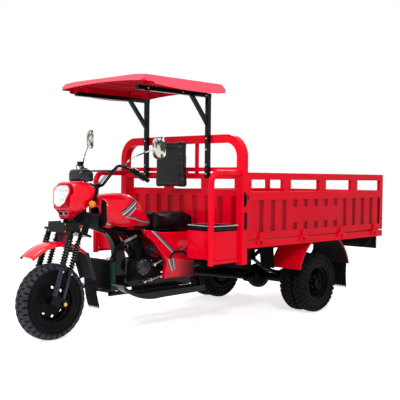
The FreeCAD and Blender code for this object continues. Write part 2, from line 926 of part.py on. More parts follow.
def instruments():
    """The blank board over the fender, the meter pod and the turn signals."""
    front = behind(s.board_back)
    rear = front - s.board_depth
    half = s.board_half_width
    points = [
        (front, -half + 12),
        [(front - 4, -half + 4), (front - 12, -half)],
        (rear, -half),
        (rear, 4 - half),
        (front - 14, 4 - half),
        (front - 6, 14 - half),
        (front - 6, half - 14),
        (front - 14, half - 4),
        (rear, half - 4),
        (rear, half),
        (front - 12, half),
        [(front - 4, half - 4), (front, half - 12)],
    ]
    sheet = prism("front_board_sheet", "XY", points, s.board_low, s.board_high)
    foot = box("front_board_foot", (front - 52, front - 5), (-60, 60), (s.board_low + 16, s.board_low + 52))
    piece("front_board", cut("front_board", fuse("front_board_solid", [sheet, foot]), [yoke_block()]))
    x = behind(s.meter_back)
    pod = prism(
        "meter_pod_block",
        "XZ",
        [
            (x - 66, s.nacelle_high + s.seat_gap),
            (x + 62, s.nacelle_high + s.seat_gap),
            (x + 66, s.nacelle_high + 24),
            [(x + 20, s.nacelle_high + 72), (x - 34, s.nacelle_high + 92)],
            (x - 66, s.nacelle_high + 44),
        ],
        -s.meter_half_width,
        s.meter_half_width,
    )
    piece("meter_pod", rounded("meter_pod_soft", pod, 16, lambda edge: edge.BoundBox.YLength < 1))
    signals = []
    for side, sign in (("left", 1), ("right", -1)):
        near = s.nacelle_half_width + s.seat_gap
        stalk = near if sign > 0 else -near - 22
        signals.append(cylinder(f"signal_stalk_{side}", 9, 22, (behind(245), stalk, 984), ALONG_Y))
        centre = near + 22 + 12
        low = centre - 22 if sign > 0 else -centre - 22
        signals.append(cylinder(f"signal_lamp_{side}", s.signal_radius, 44, (behind(245), low, 984), ALONG_Y))
    left = fuse("turn_signal_left", signals[:2])
    right = fuse("turn_signal_right", signals[2:])
    piece("turn_signals", group("turn_signals", [left, right]))


def yoke_block():
    reach = s.strut_spread + 40
    nose = s.strut_lead + s.strut_spacing / 2 + s.yoke_nose + s.seat_gap
    return tilted(box("yoke_block", (-60, nose), (-reach, reach), (-60, s.yoke_plate + s.seat_gap)))


def handlebar():
    """A raised bar with a cross brace, its grips and two mirrors."""
    points = []
    for sign in (-1, 1):
        row = [
            (behind(s.grip_end_back), s.grip_end_spread * sign, s.grip_end_height),
            (behind(s.grip_start_back), s.grip_start_spread * sign, s.grip_start_height),
            (behind(s.bar_bend_back), s.bar_bend_spread * sign, s.bar_bend_height),
            (behind(s.bar_clamp_back), s.bar_clamp_spread * 2 * sign, s.bar_clamp_height),
        ]
        points += row if sign < 0 else row[::-1]
    bar = tube("handlebar_tube", points, s.bar_radius, 42)
    share = 0.7
    brace_y = s.bar_clamp_spread * 2 * (1 - share) + s.bar_bend_spread * share
    brace_back = s.bar_clamp_back * (1 - share) + s.bar_bend_back * share
    brace_z = s.bar_clamp_height * (1 - share) + s.bar_bend_height * share
    parts = [bar, cylinder("cross_brace", 7, brace_y * 2, (behind(brace_back), -brace_y, brace_z), ALONG_Y)]
    for side, sign in (("left", 1), ("right", -1)):
        at = (behind(s.bar_clamp_back), s.bar_clamp_spread * sign - 13, s.bar_clamp_height)
        parts.append(cylinder(f"bar_clamp_{side}", s.clamp_radius, 26, at, ALONG_Y))
    piece("handlebar", fuse("handlebar", parts))
    grips, mirrors, levers = [], [], []
    for side, sign in (("left", 1), ("right", -1)):
        start = numbers([(behind(s.grip_start_back), s.grip_start_spread * sign, s.grip_start_height)])[0]
        end = numbers([(behind(s.grip_end_back), s.grip_end_spread * sign, s.grip_end_height)])[0]
        length = (end - start).Length - 16
        direction = (end - start).normalize()
        grip = doc.addObject("Part::Feature", f"grip_{side}")
        outer = Part.makeCylinder(s.grip_radius.number, length + 6, end - direction * length, direction)
        bore = s.bar_radius.number + s.seat_gap.number
        inner = Part.makeCylinder(bore, length + s.seat_gap.number, end - direction * length, direction)
        grip.Shape = outer.cut(inner)
        grips.append(grip)
        mirrors.append(mirror(side, sign))
        levers.append(hand_lever(side, sign, start, end))
    piece("grips", group("grips", grips))
    piece("hand_levers", group("hand_levers", levers))
    whole = group("mirror_pair", mirrors)
    piece("mirrors", cut("mirrors", whole, [bar]))


def mirror(side, sign):
    """A rounded mirror on a stem that rises from the bar; the right one stands higher and further back."""
    back, y, z = (getattr(s, f"{side}_mirror_{word}") for word in ("back", "spread", "height"))
    x, y = behind(back), y * sign
    root_y = s.mirror_root_spread * sign
    root = (behind(s.mirror_root_back), root_y, s.mirror_root_height)
    head = (x + 16, y, z - 20)
    share = 0.3
    knee = [low * (1 - share) + high * share for low, high in zip(root, head)]
    knee[2] += s.mirror_rise
    stem = tube(f"mirror_stem_{side}", [root, tuple(knee), head], 5, 20)
    wide, tall = s.mirror_wide / 2, s.mirror_tall / 2
    shell = box(f"mirror_box_{side}", (x, x + 22), (y - wide, y + wide), (z - tall, z + tall))
    soft = rounded(f"mirror_head_{side}", shell, 28, lies_along("X"))
    return fuse(f"mirror_{side}", [stem, soft])


def hand_lever(side, sign, start, end):
    """A clamp on the bar inside the grip, and the lever that runs in front of the grip."""
    bend = numbers([(behind(s.bar_bend_back), s.bar_bend_spread * sign, s.bar_bend_height)])[0]
    along = (start - bend).normalize()
    middle = start - along * s.perch_gap.number
    forward = Vector(1, 0, 0)
    square = (forward - along * forward.dot(along)).normalize() * s.lever_reach.number
    reach = forward * s.lever_reach.number
    half = along * (s.perch_length.number / 2)
    perch = doc.addObject("Part::Feature", f"perch_{side}")
    collar = Part.makeCylinder(s.perch_radius.number, s.perch_length.number, middle - half, along)
    hole = s.bar_radius.number + s.seat_gap.number
    bore = Part.makeCylinder(hole, s.perch_length.number, middle - half, along)
    arm = Part.makeCylinder(8, s.lever_reach.number * 0.6, middle + square * 0.35, square)
    perch.Shape = collar.fuse(arm).cut(bore)
    root = middle + square * 0.85
    elbow = start + reach * 1.1 + Vector(0, 0, -4)
    tip = end + reach * 1.05
    blade = tube(f"lever_blade_{side}", [tuple(root), tuple(elbow), tuple(tip)], 5, 20)
    return fuse(f"lever_{side}", [perch, blade])


# Frame, engine and rider's place


def front_frame():
    """Head tube, backbone under the tank, the wide curved down tube and the outriggers."""
    head = cylinder(
        "head_tube",
        s.head_tube_radius,
        s.head_tube_high - s.head_tube_low,
        (0, 0, s.head_tube_low),
    )
    hole = cylinder("head_bore", s.stem_radius + s.seat_gap, 400, (0, 0, 0))
    backbone = tube(
        "backbone",
        [
            along_steering(-10, 110),
            (behind(500), 0, 768),
            (behind(840), 0, s.seat_base - s.backbone_radius),
            (hoop_front - 31, 0, s.seat_base - s.backbone_radius),
            (hoop_front - 31, 0, s.beam_top + s.seat_gap),
        ],
        s.backbone_radius,
        60,
    )
    down = prism(
        "down_tube",
        "XZ",
        [
            [(behind(645), 664), (behind(580), 762)],
            (behind(470), 766),
            [(behind(545), 694), (behind(580), 600)],
            (behind(592), s.cradle_height + 13 + s.seat_gap),
            (behind(668), s.cradle_height + 13 + s.seat_gap),
            (behind(665), 420),
        ],
        -s.down_tube_half_width,
        s.down_tube_half_width,
    )
    arms = []
    for number, back in enumerate((800, 1150), start=1):
        reach = s.side_cover_inside
        arms.append(cylinder(f"outrigger_{number}", 11, reach * 2, (behind(back), -reach, 735), ALONG_Y))
    stay = box("tank_stay", (behind(700), behind(560)), (-20, 20), (760, 800))
    body = fuse("front_frame_solid", [tilted(head), backbone, down, stay] + arms)
    piece("front_frame", cut("front_frame", body, [tilted(hole)]))


def engine_cradle():
    """Two lower rails from the radiator back and up to the chassis, with cross tubes."""
    height = s.cradle_height
    rails = []
    for side, sign in (("left", 1), ("right", -1)):
        y = s.cradle_spread * sign
        points = [
            (behind(s.radiator_back + 4), y, height),
            (behind(1150), y, height),
            (behind(1212), y, 535),
            (hoop_front + s.seat_gap, y, 535),
        ]
        rails.append(tube(f"cradle_{side}", points, s.cradle_radius, 24))
    cross = []
    for number, back in enumerate((520, 645, 1150), start=1):
        at = (behind(back), -s.cradle_spread, height)
        cross.append(cylinder(f"cradle_cross_{number}", 13, s.cradle_spread * 2, at, ALONG_Y))
    whole = fuse("engine_cradle", rails + cross)
    piece("engine_cradle", whole)


def chassis():
    """Two long box rails under the bed and the members across them."""
    inside, outside = s.rail_spread - s.rail_width / 2, s.rail_spread + s.rail_width / 2
    low, top = s.rail_top - s.rail_height, s.rail_top
    front, rear = bed_front, bed_rear + 60
    left = box("chassis_rail_left", (rear, front), (inside, outside), (low, top))
    piece("chassis_rails", group("chassis_rails", [left, mirrored("chassis_rail_right", left)]))
    members = []
    span = front - rear
    for number, share in enumerate((0.06, 0.3, 0.44, 0.78, 0.97), start=1):
        x = front - span * share
        members.append(box(f"member_{number}", (x - 25, x + 25), (-inside, inside), (low + 10, top - 10)))
    reach = hoop_half - s.hoop_tube
    members.append(box("seat_beam", (bed_front, hoop_front), (-reach, reach), (s.beam_low, s.beam_top)))
    piece("cross_members", group("cross_members", members))


def engine():
    """One plain block with its cylinder and round case cover."""
    front, rear = behind(s.engine_front_back), behind(s.engine_rear_back)
    half = s.engine_half_width
    low = s.cradle_height + s.cradle_radius + s.seat_gap
    case = box("engine_case", (rear, front), (-half, half), (low, s.engine_top))
    cover = cylinder("engine_cover_disc", 88, s.engine_cover, (behind(800), half, 470), ALONG_Y)
    block = box("engine_head", (behind(860), behind(720)), (-70, 70), (s.engine_top, 700))
    piece("engine_block", fuse("engine_block", [case, cover, block]))
    half = s.radiator_half_width
    x = behind(s.radiator_back)
    core = box("radiator_core", (x - s.radiator_depth, x), (-half, half), (s.radiator_low, s.radiator_high))
    louvres = []
    pitch = (s.radiator_high - s.radiator_low - s.louvre_edge * 2) / SIZES["louvre_count"]
    for number in range(SIZES["louvre_count"]):
        z = s.radiator_low + s.louvre_edge + pitch * (number + 0.25)
        y = (s.louvre_edge - half, half - s.louvre_edge)
        louvres.append(box(f"louvre_{number + 1}", (x - s.louvre_depth, x + 1), y, (z, z + pitch / 2)))
    core = cut("radiator_grille", core, louvres)
    tank = box("radiator_tank", (x - 40, x - 4), (half, half + 22), (s.radiator_low + 8, s.radiator_high - 8))
    feet = []
    for side, sign in (("left", 1), ("right", -1)):
        y = s.cradle_spread * sign
        low = s.cradle_height + s.cradle_radius + s.seat_gap
        foot = ((x - 34, x - 10), (y - 10, y + 10), (low, s.radiator_low + 4))
        feet.append(box(f"radiator_foot_{side}", *foot))
    piece("radiator", fuse("radiator", [core, tank] + feet))


def loft(name, sections):
    """A smooth solid through outlines in planes across X."""
    item = doc.addObject("Part::Loft", name)
    item.Sections = sections
    item.Solid = True
    return item


def tank_section(name, back, low, high, half):
    """A rounded section of the tank: a flat belly and a full, round top."""
    points = [
        [(-(half * 0.98), low * 0.7 + high * 0.3), (-(half * 0.72), low)],
        (half * 0.72, low),
        [(half * 0.98, low * 0.7 + high * 0.3), (half * 0.9, low * 0.35 + high * 0.65)],
        [(half * 0.62, low * 0.08 + high * 0.92), (0, high)],
        [(-(half * 0.62), low * 0.08 + high * 0.92), (-(half * 0.9), low * 0.35 + high * 0.65)],
    ]
    sketch = outline(name, points)
    return place(sketch, x=behind(back), rotation=PLANES["YZ"])


def fuel_tank():
    half = s.tank_half_width
    sections = [
        tank_section("tank_nose", 396, Size.of(884), Size.of(1024), half * 0.44),
        tank_section("tank_front", 450, Size.of(846), Size.of(1046), half * 0.76),
        tank_section("tank_middle", 560, Size.of(806), Size.of(1056), half),
        tank_section("tank_shoulder", 680, Size.of(802), Size.of(1046), half),
        tank_section("tank_back", 800, Size.of(802), Size.of(956), half * 0.84),
        tank_section("tank_tail", 878, Size.of(802), Size.of(868), half * 0.62),
    ]
    piece("fuel_tank", loft("fuel_tank", sections))


def seats():
    """The rider's saddle, the cushions beside it and the back rest."""
    front, rear = behind(s.seat_front_back), behind(s.seat_rear_back)
    base = s.seat_base + s.seat_gap
    saddle = prism(
        "saddle",
        "XZ",
        [
            (front, base),
            (front - 14, 915),
            [(front - 140, 872), (front - 270, 893)],
            [(front - 350, 896), (rear, 872)],
            (rear, base),
        ],
        -s.seat_half_width,
        s.seat_half_width,
    )

    def is_top_edge(edge):
        return edge.BoundBox.YLength < 1 and edge.BoundBox.ZMin > 800

    piece("rider_seat", rounded("rider_seat", saddle, 24, is_top_edge))
    low, high, half = s.back_rest_low, s.back_rest_high, s.back_rest_half_width
    x = hoop_front + s.back_rest_gap
    profile = prism(
        "back_rest_side",
        "XZ",
        [(x, low), (x + 44, low), [(x + 62, low + 190), (x + 30, high)], (x, high)],
        -half,
        half,
    )
    face = prism("back_rest_face", "YZ", rounded_rectangle(-half, half, low, high, 56), x, x + 90)
    piece("seat_back", common("seat_back", profile, face))


def rounded_rectangle(u0, u1, v0, v1, radius):
    """An outline with the same round on its four corners."""
    near = radius * (1 - math.sqrt(0.5))
    return [
        [(u0 + near, v0 + near), (u0 + radius, v0)],
        (u1 - radius, v0),
        [(u1 - near, v0 + near), (u1, v0 + radius)],
        (u1, v1 - radius),
        [(u1 - near, v1 - near), (u1 - radius, v1)],
        (u0 + radius, v1),
        [(u0 + near, v1 - near), (u0, v1 - radius)],
        (u0, v0 + radius),
    ]


def side_covers():
    """A panel under each side of the saddle, with its three-sided lower edge."""
    cover = prism(
        "side_cover",
        "XZ",
        [
            (behind(706), 782),
            [(behind(745), 728), (behind(803), 694)],
            (behind(932), 542),
            [(behind(949), 512), (behind(948), 484)],
            (behind(922), 381),
            (behind(1262), 377),
            (behind(1262), 742),
            (behind(900), 752),
        ],
        s.side_cover_inside + s.seat_gap,
        s.side_cover_outside,
    )
    face = s.side_cover_outside.number - 1
    left = rounded("side_cover_left", cover, 7, lambda edge: edge.BoundBox.YMin > face)
    piece("side_covers", group("side_covers", [left, mirrored("side_cover_right", left)]))


def footboards():
    """A tread on each side that curls up in front, with a deep outer lip, on two arms from the cradle."""
    inside, outside, sheet = s.footboard_inside, s.footboard_outside, s.footboard_sheet
    height = s.cradle_height + s.footboard_arm_radius - 5
    rear, flat = behind(s.footboard_rear_back), behind(s.footboard_flat_back)
    bend, tip, curl = behind(s.footboard_bend_back), behind(s.footboard_tip_back), height + s.footboard_curl
    tread = prism(
        "footboard_tread",
        "XZ",
        [
            (rear, height),
            (flat, height),
            [(bend, height + 23), (tip, curl)],
            (tip - sheet, curl + sheet / 2),
            [(bend - 4, height + 29), (flat - 2, height + sheet)],
            (rear, height + sheet),
        ],
        inside,
        outside,
    )
    lip = prism(
        "footboard_lip",
        "XZ",
        [
            (rear, height - s.footboard_lip + 4),
            (flat - 160, height - s.footboard_lip),
            [(flat + 40, height - 24), (tip - 15, height + 44)],
            (tip, curl),
            [(bend, height + 30), (flat, height + sheet * 2)],
            (rear, height + sheet * 2),
        ],
        outside - 5,
        outside,
    )
    arms = []
    start = s.cradle_spread + s.cradle_radius + s.seat_gap
    for number, back in enumerate((760, 1100), start=1):
        at = (behind(back), start, s.cradle_height)
        length = outside - 6 - start
        arms.append(cylinder(f"footboard_arm_{number}", s.footboard_arm_radius, length, at, ALONG_Y))
    left = fuse("footboard_left", [tread, lip] + arms)
    piece("footboards", group("footboards", [left, mirrored("footboard_right", left)]))


def foot_levers():
    """Gear pedal and kick lever on the left, brake pedal on the right."""
    side = s.engine_half_width + s.engine_cover + s.seat_gap
    pivot, low, top = behind(800), s.gear_pivot_high, s.kick_pivot_high
    reach = s.gear_arm_out
    toe, heel = (behind(716), low - 9), (behind(884), low + 18)
    run = [(toe[0], side + reach, toe[1]), (pivot, side + reach, low), (heel[0], side + reach, heel[1])]
    gear = [
        cylinder("gear_boss", s.lever_boss_radius, reach, (pivot, side, low), ALONG_Y),
        tube("gear_arm", run, s.lever_radius, 40),
    ]
    for name, (x, z) in (("toe", toe), ("heel", heel)):
        pad = (x, side + reach - 14, z)
        gear.append(cylinder(f"gear_{name}_pad", s.lever_radius + 3, s.gear_pad_length, pad, ALONG_Y))
    kick_pivot = (behind(846), side + s.kick_arm_out, top)
    kick_end = (behind(930), side + s.kick_arm_out, top + 30)
    kick = [
        cylinder("kick_boss", s.lever_boss_radius, s.kick_arm_out + 10, (behind(846), side, top), ALONG_Y),
        tube("kick_arm", [kick_pivot, kick_end], s.lever_radius),
    ]
    side -= s.engine_cover
    low -= 26
    y = -side - s.brake_arm_out
    brake = [
        cylinder("brake_boss", s.lever_boss_radius, s.brake_arm_out + 8, (pivot, y - 8, low), ALONG_Y),
        tube("brake_arm", [(pivot, y, low), (behind(676), y, low + 20)], s.lever_radius),
        box("brake_pad", (behind(700), behind(660)), (y - 58, y + 10), (low + 22, low + 30)),
    ]
    levers = [fuse("gear_lever", gear), fuse("kick_lever", kick), fuse("brake_lever", brake)]
    piece("foot_levers", group("foot_levers", levers))


def side_seats():
    """A closed box with a cushion on each side of the rider, and the rail outside it."""
    front, rear = behind(s.box_front_back), hoop_front + s.seat_gap
    inside, outside = box_inside, box_outside
    low = s.box_low + s.seat_gap
    shell = box("seat_box_solid", (rear, front), (inside, outside), (low, s.box_high))
    left = rounded("seat_box_left", shell, 12, lies_along("Z"))
    piece("seat_boxes", group("seat_boxes", [left, mirrored("seat_box_right", left)]))
    pad_high = (s.box_high + s.seat_gap, s.cushion_high)
    pad = box("side_seat_solid", (rear, front + 3), (inside - 6, outside + 4), pad_high)
    soft = rounded("side_seat_left", pad, 14, lambda edge: edge.BoundBox.ZMin > s.cushion_high.number - 1)
    piece("side_seats", group("side_seats", [soft, mirrored("side_seat_right", soft)]))
    x, y = behind(s.guard_back), guard_y
    points = [(x, y, s.guard_low), (x, y, s.guard_high), (hoop_front, y, s.guard_high)]
    bent = tube("guard_tube", points, s.guard_radius, 80)
    half = s.guard_radius / 2
    foot = box("guard_foot", (hoop_front, x), (y - half, y + half), (s.guard_foot_low, s.guard_foot_high))
    left = fuse("guard_rail_left", [bent, foot])
    piece("guard_rails", group("guard_rails", [left, mirrored("guard_rail_right", left)]))


# Load bed


def bed_floor():
    """Sheet floor on cross bearers between two side sills, with the fixed hinge halves."""
    thick = s.gate_thickness
    inner = bed_side - thick - s.move_gap
    along = (bed_rear + thick + s.move_gap, bed_front - s.wall_thickness - s.seat_gap)
    sheet = box("floor_sheet_solid", along, (-inner, inner), (s.floor_top - s.floor_sheet, s.floor_top))
    top = s.floor_top - s.floor_sheet
    parts = [sheet]
    for side, sign in (("left", 1), ("right", -1)):
        y = (inner - 6, bed_side) if sign > 0 else (-bed_side, 6 - inner)
        parts.append(box(f"sill_{side}", (bed_rear, bed_front), y, (s.sill_low, top)))
    for number in range(6):
        x = bed_rear + s.bed_length * (number + 0.5) / 6
        parts.append(box(f"bearer_{number + 1}", (x - 22, x + 22), (-inner, inner), (s.rail_top, top)))
    tail = (bed_rear, along[0] + s.sill_lap)
    parts.append(box("tail_sill", tail, (-inner, inner), (s.sill_low, top)))
    front = (along[1] - s.sill_lap, bed_front)
    parts.append(box("front_sill", front, (-inner, inner), (s.rail_top, top)))
    for side, sign in (("left", 1), ("right", -1)):
        for number, x in enumerate(side_hinges(), start=1):
            parts += hinge_ends(f"{side}_{number}", x, sign)
    for number, y in enumerate(tail_hinges(), start=1):
        parts += tail_hinge_ends(f"tail_{number}", y)
    piece("bed_floor", fuse("bed_floor", parts))


def side_hinges():
    """Places of the hinges along a side gate."""
    return [bed_rear + s.bed_length * share for share in (0.08, 0.36, 0.64, 0.92)]


def tail_hinges():
    return [bed_side * share for share in (-0.66, 0.0, 0.66)]


hinge_z = s.gate_low / 2 + s.floor_top / 2 - s.floor_sheet / 2
side_pin_y = bed_side + s.hinge_out
tail_pin_x = bed_rear - s.hinge_out


def hinge_ends(name, x, sign):
    """The floor's half of a side hinge: two knuckles, a strap and the pin."""
    half = s.hinge_length / 2
    third = s.hinge_length / 6
    y = side_pin_y * sign
    parts = [cylinder(f"pin_{name}", s.hinge_pin, s.hinge_length, (x - half, y, hinge_z), ALONG_X)]
    for end, start in (("rear", x - half), ("front", x + third + 1)):
        length = half - third - 1
        parts.append(cylinder(f"knuckle_{name}_{end}", s.hinge_barrel, length, (start, y, hinge_z), ALONG_X))
        band = (bed_side, side_pin_y) if sign > 0 else (-side_pin_y, -bed_side)
        parts.append(box(f"strap_{name}_{end}", (start, start + length), band, (hinge_z - 40, hinge_z - 5)))
    return parts


def tail_hinge_ends(name, y):
    half = s.hinge_length / 2
    third = s.hinge_length / 6
    x = tail_pin_x
    parts = [cylinder(f"pin_{name}", s.hinge_pin, s.hinge_length, (x, y - half, hinge_z), ALONG_Y)]
    for end, start in (("right", y - half), ("left", y + third + 1)):
        length = half - third - 1
        parts.append(cylinder(f"knuckle_{name}_{end}", s.hinge_barrel, length, (x, start, hinge_z), ALONG_Y))
        strap = ((x, bed_rear), (start, start + length), (hinge_z - 40, hinge_z - 5))
        parts.append(box(f"strap_{name}_{end}", *strap))
    return parts


def groove(name, centre, face, depth, low, high, across=False):
    """A trapezoid groove pressed into one face of a panel that runs along X or, with across, along Y."""
    wide, narrow = s.rib_gap / 2, s.rib_gap / 2 - s.rib_slope
    points = [
        (centre - wide, face),
        (centre - narrow, face - depth),
        (centre + narrow, face - depth),
        (centre + wide, face),
    ]
    if across:
        points = [(x, y) for y, x in points]
    return prism(name, "XY", points, low, high)


def side_gates():
    """A ribbed panel that folds down on its hinges, with a band of windows welded on its top edge."""
    rear, front = bed_rear, bed_front - s.move_gap
    inner, outer = bed_side - s.gate_thickness, bed_side
    face = outer - s.panel_inset
    slab = box("gate_slab", (rear, front), (inner, outer), (s.gate_low, s.gate_panel_top))
    field = (rear + s.gate_post, front - s.gate_post)
    tools = [box("gate_field", field, (face, outer + 1), (s.rib_low, s.rib_high))]
    count = SIZES["rib_count"]
    pitch = (front - rear - s.rib_front - s.rib_rear) / (count - 1)
    plate_rear, plate_front = bed_front - s.plate_rear, bed_front - s.plate_front
    for number in range(count):
        x = front - s.rib_front - pitch * number
        name = f"gate_rib_{number + 1}"
        if plate_rear.number < x.number < plate_front.number:
            tools.append(groove(name + "_under", x, face, s.rib_depth, s.rib_low, s.plate_low))
            tools.append(groove(name + "_over", x, face, s.rib_depth, s.plate_high, s.rib_high))
        else:
            tools.append(groove(name, x, face, s.rib_depth, s.rib_low, s.rib_high))
        if number:
            back = x + pitch / 2
            tools.append(groove(name + "_back", back, inner, -s.rib_depth, s.rib_low, s.rib_high))
    parts = [cut("gate_panel", slab, tools)]
    for number, x in enumerate(side_hinges(), start=1):
        third = s.hinge_length / 6
        at = (x - third + 1, side_pin_y, hinge_z)
        barrel = cylinder(f"gate_barrel_{number}", s.hinge_barrel, third * 2 - 2, at, ALONG_X)
        strap = box(
            f"gate_strap_{number}",
            (x - third + 1, x + third - 1),
            (outer, side_pin_y),
            (hinge_z + 5, hinge_z + 60),
        )
        parts += [barrel, strap]
    whole = fuse("gate_solid", parts)
    bores = [
        cylinder(f"gate_bore_{number}", s.hinge_pin + s.seat_gap, 120, (x - 60, side_pin_y, hinge_z), ALONG_X)
        for number, x in enumerate(side_hinges(), start=1)
    ]
    left = cut("side_gate_left", whole, bores)
    piece("side_gate_left", left)
    piece("side_gate_right", mirrored("side_gate_right", left))
    low = s.gate_panel_top + s.seat_gap
    band = box("window_band", (rear, front), (inner, outer), (low, s.gate_top))
    count = SIZES["window_count"]
    pitch = (front - rear - s.gate_post * 2 + s.window_post) / count
    windows = []
    for number in range(count):
        start = rear + s.gate_post + pitch * number
        x = (start, start + pitch - s.window_post)
        windows.append(box(f"window_{number + 1}", x, (inner - 5, outer + 5), (low - 1, s.window_high)))
    left = cut("gate_rail_left", band, windows)
    piece("gate_rail_left", left)
    piece("gate_rail_right", mirrored("gate_rail_right", left))


def ribs_across(name, half, face, back, depth, high):
    """Grooves in both faces of a wall that stands across the bed."""
    count = SIZES["wall_rib_count"]
    pitch = (half - s.wall_rib_margin) * 2 / (count - 1)
    tools = []
    for number in range(count):
        y = pitch * number - half + s.wall_rib_margin
        tools.append(groove(f"{name}_rib_{number + 1}", y, face, depth, s.rib_low, high, True))
        if number:
            y -= pitch / 2
            tools.append(groove(f"{name}_back_{number + 1}", y, back, -depth, s.rib_low, high, True))
    return tools


def tailgate():
    half = bed_side - s.gate_thickness - s.move_gap
    x = (bed_rear, bed_rear + s.gate_thickness)
    face = bed_rear + s.panel_inset
    slab = box("tailgate_slab", x, (-half, half), (s.gate_low, s.tailgate_top))
    inside = half - s.gate_post
    field = box("tailgate_field", (bed_rear - 1, face), (-inside, inside), (s.rib_low, s.rib_high))
    tools = [field] + ribs_across("tailgate", half, face, x[1], -s.rib_depth, s.rib_high)
    parts = [cut("tailgate_panel", slab, tools)]
    bores = []
    for number, y in enumerate(tail_hinges(), start=1):
        third = s.hinge_length / 6
        at = (tail_pin_x, y - third + 1, hinge_z)
        parts.append(cylinder(f"tailgate_barrel_{number}", s.hinge_barrel, third * 2 - 2, at, ALONG_Y))
        parts.append(
            box(
                f"tailgate_strap_{number}",
                (tail_pin_x, bed_rear),
                (y - third + 1, y + third - 1),
                (hinge_z + 5, hinge_z + 60),
            )
        )
        at = (tail_pin_x, y - 60, hinge_z)
        bores.append(cylinder(f"tailgate_bore_{number}", s.hinge_pin + s.seat_gap, 120, at, ALONG_Y))
    piece("tailgate", cut("tailgate", fuse("tailgate_solid", parts), bores))


def bed_front_wall():
    inner = bed_side - s.gate_thickness - s.move_gap
    low = s.floor_top - s.floor_sheet + s.seat_gap
    x = (bed_front - s.wall_thickness, bed_front)
    slab = box("front_wall_slab", x, (-inner, inner), (low, s.wall_top))
    tools = ribs_across("front_wall", inner, x[1], x[0], s.rib_depth, s.wall_rib_high)
    piece("bed_front_wall", cut("bed_front_wall", slab, tools))


# Headboard, canopy and tail


def headboard():
    """The bent hoop in front of the bed, its cross bars and the canopy over the rider."""
    x = bed_front + s.hoop_depth / 2
    y = hoop_half - s.hoop_tube / 2
    top = s.hoop_top - 20
    points = [(x, -y, s.hoop_low), (x, -y, top), (x, y, top), (x, y, s.hoop_low)]
    hoop = tube("headboard_hoop", points, 0, s.hoop_corner, (s.hoop_tube, s.hoop_depth))
    piece("headboard_hoop", hoop)
    inside = y - s.hoop_tube / 2
    bars = []
    for number, low in enumerate((s.bar_one_low, s.bar_two_low), start=1):
        x = (bed_front + s.bar_inset, hoop_front)
        bars.append(box(f"bar_{number}", x, (-inside, inside), (low, low + s.bar_depth)))
    for side, sign in (("left", 1), ("right", -1)):
        y = s.picket_spread * sign
        low = s.bar_one_low
        x = (bed_front + 20, hoop_front - 16)
        bars.append(box(f"picket_{side}", x, (y - 11, y + 11), (low, top - 34)))
        y = s.bracket_spread * sign
        x = (hoop_front, hoop_front + s.back_rest_gap - s.seat_gap)
        bars.append(box(f"back_bracket_{side}", x, (y - 15, y + 15), (low + 4, low + 60)))
    piece("headboard_bars", fuse("headboard_bars", bars))


def canopy():
    """Two posts with a beam and a brace each, under the crowned roof shell."""
    post_x = (hoop_front + s.seat_gap, hoop_front + s.seat_gap + s.post_tube)
    y = (s.post_spread - s.post_tube / 2, s.post_spread + s.post_tube / 2)
    front = behind(s.roof_front_back + 60)
    beam_low = s.post_top - s.beam_depth
    brace_x = behind(s.brace_back)
    brace = [
        (post_x[1] - 4, s.brace_low),
        (post_x[1] - 4, s.brace_low + 50),
        (brace_x - 40, beam_low + 4),
        (brace_x, beam_low + 4),
    ]
    half = s.brace_half_width
    parts = [
        box("canopy_post", post_x, y, (s.post_low, s.post_top)),
        box("canopy_beam", (behind(s.roof_rear_back - 60), front), y, (beam_low, s.post_top)),
        prism("canopy_brace", "XZ", brace, s.post_spread - half, s.post_spread + half),
    ]
    left = fuse("canopy_frame_left", parts)
    piece("canopy_frame", group("canopy_frame", [left, mirrored("canopy_frame_right", left)]))
    room = roof_form("roof_room", s.roof_sheet)
    shell = cut("roof_shell", roof_form("roof_outside", Size.of(0)), [room] + roof_lips())
    under = roof_form("roof_under", s.roof_sheet + s.bow_depth)
    parts = [shell]
    for number, back in enumerate((s.roof_front_back + s.bow_inset, s.roof_rear_back - s.bow_inset), start=1):
        x, wide = (behind(back) - s.bow_width / 2, behind(back) + s.bow_width / 2), s.roof_half_width
        band = box(f"roof_band_{number}", x, (-wide, wide), (s.post_top + s.seat_gap, s.roof_top))
        strip = cut(f"roof_strip_{number}", band, [under])
        parts.append(common(f"roof_bow_{number}", strip, roof_form(f"roof_fill_{number}", s.roof_sheet)))
        for side, sign in (("left", 1), ("right", -1)):
            near, far = s.post_spread - s.post_tube / 2, s.post_spread + s.post_tube / 2
            reach = (near, far) if sign > 0 else (-far, -near)
            foot_top = s.roof_shoulder - s.roof_sheet
            parts.append(box(f"roof_foot_{number}_{side}", x, reach, (s.post_top + s.seat_gap, foot_top)))
    piece("canopy_roof", fuse("canopy_roof", parts))


def roof_form(name, inset):
    """The roof's outer form: a shouldered arch each way, crossed, with round corners in plan."""
    front, rear = behind(s.roof_front_back) - inset, behind(s.roof_rear_back) + inset
    half = s.roof_half_width - inset
    low = s.side_lip_low - 20 - inset
    lip, shoulder, top = s.side_lip_low - inset, s.roof_shoulder - inset, s.roof_top - inset
    slope = s.roof_slope
    middle = front / 2 + rear / 2
    along = prism(
        name + "_along",
        "XZ",
        [
            (rear, low),
            (rear, lip + 20),
            (rear + slope, shoulder),
            [(middle, top), (front - slope, shoulder + 10)],
            (front, lip + 40),
            (front, low),
        ],
        -half,
        half,
    )
    across = prism(
        name + "_across",
        "YZ",
        [
            (-half, low),
            (-half, lip),
            (slope - half, shoulder),
            [(0, top), (half - slope, shoulder)],
            (half, lip),
            (half, low),
        ],
        rear,
        front,
    )
    form = common(name, along, across)
    return rounded(name + "_soft", form, s.roof_corner - inset, lies_along("Z"))


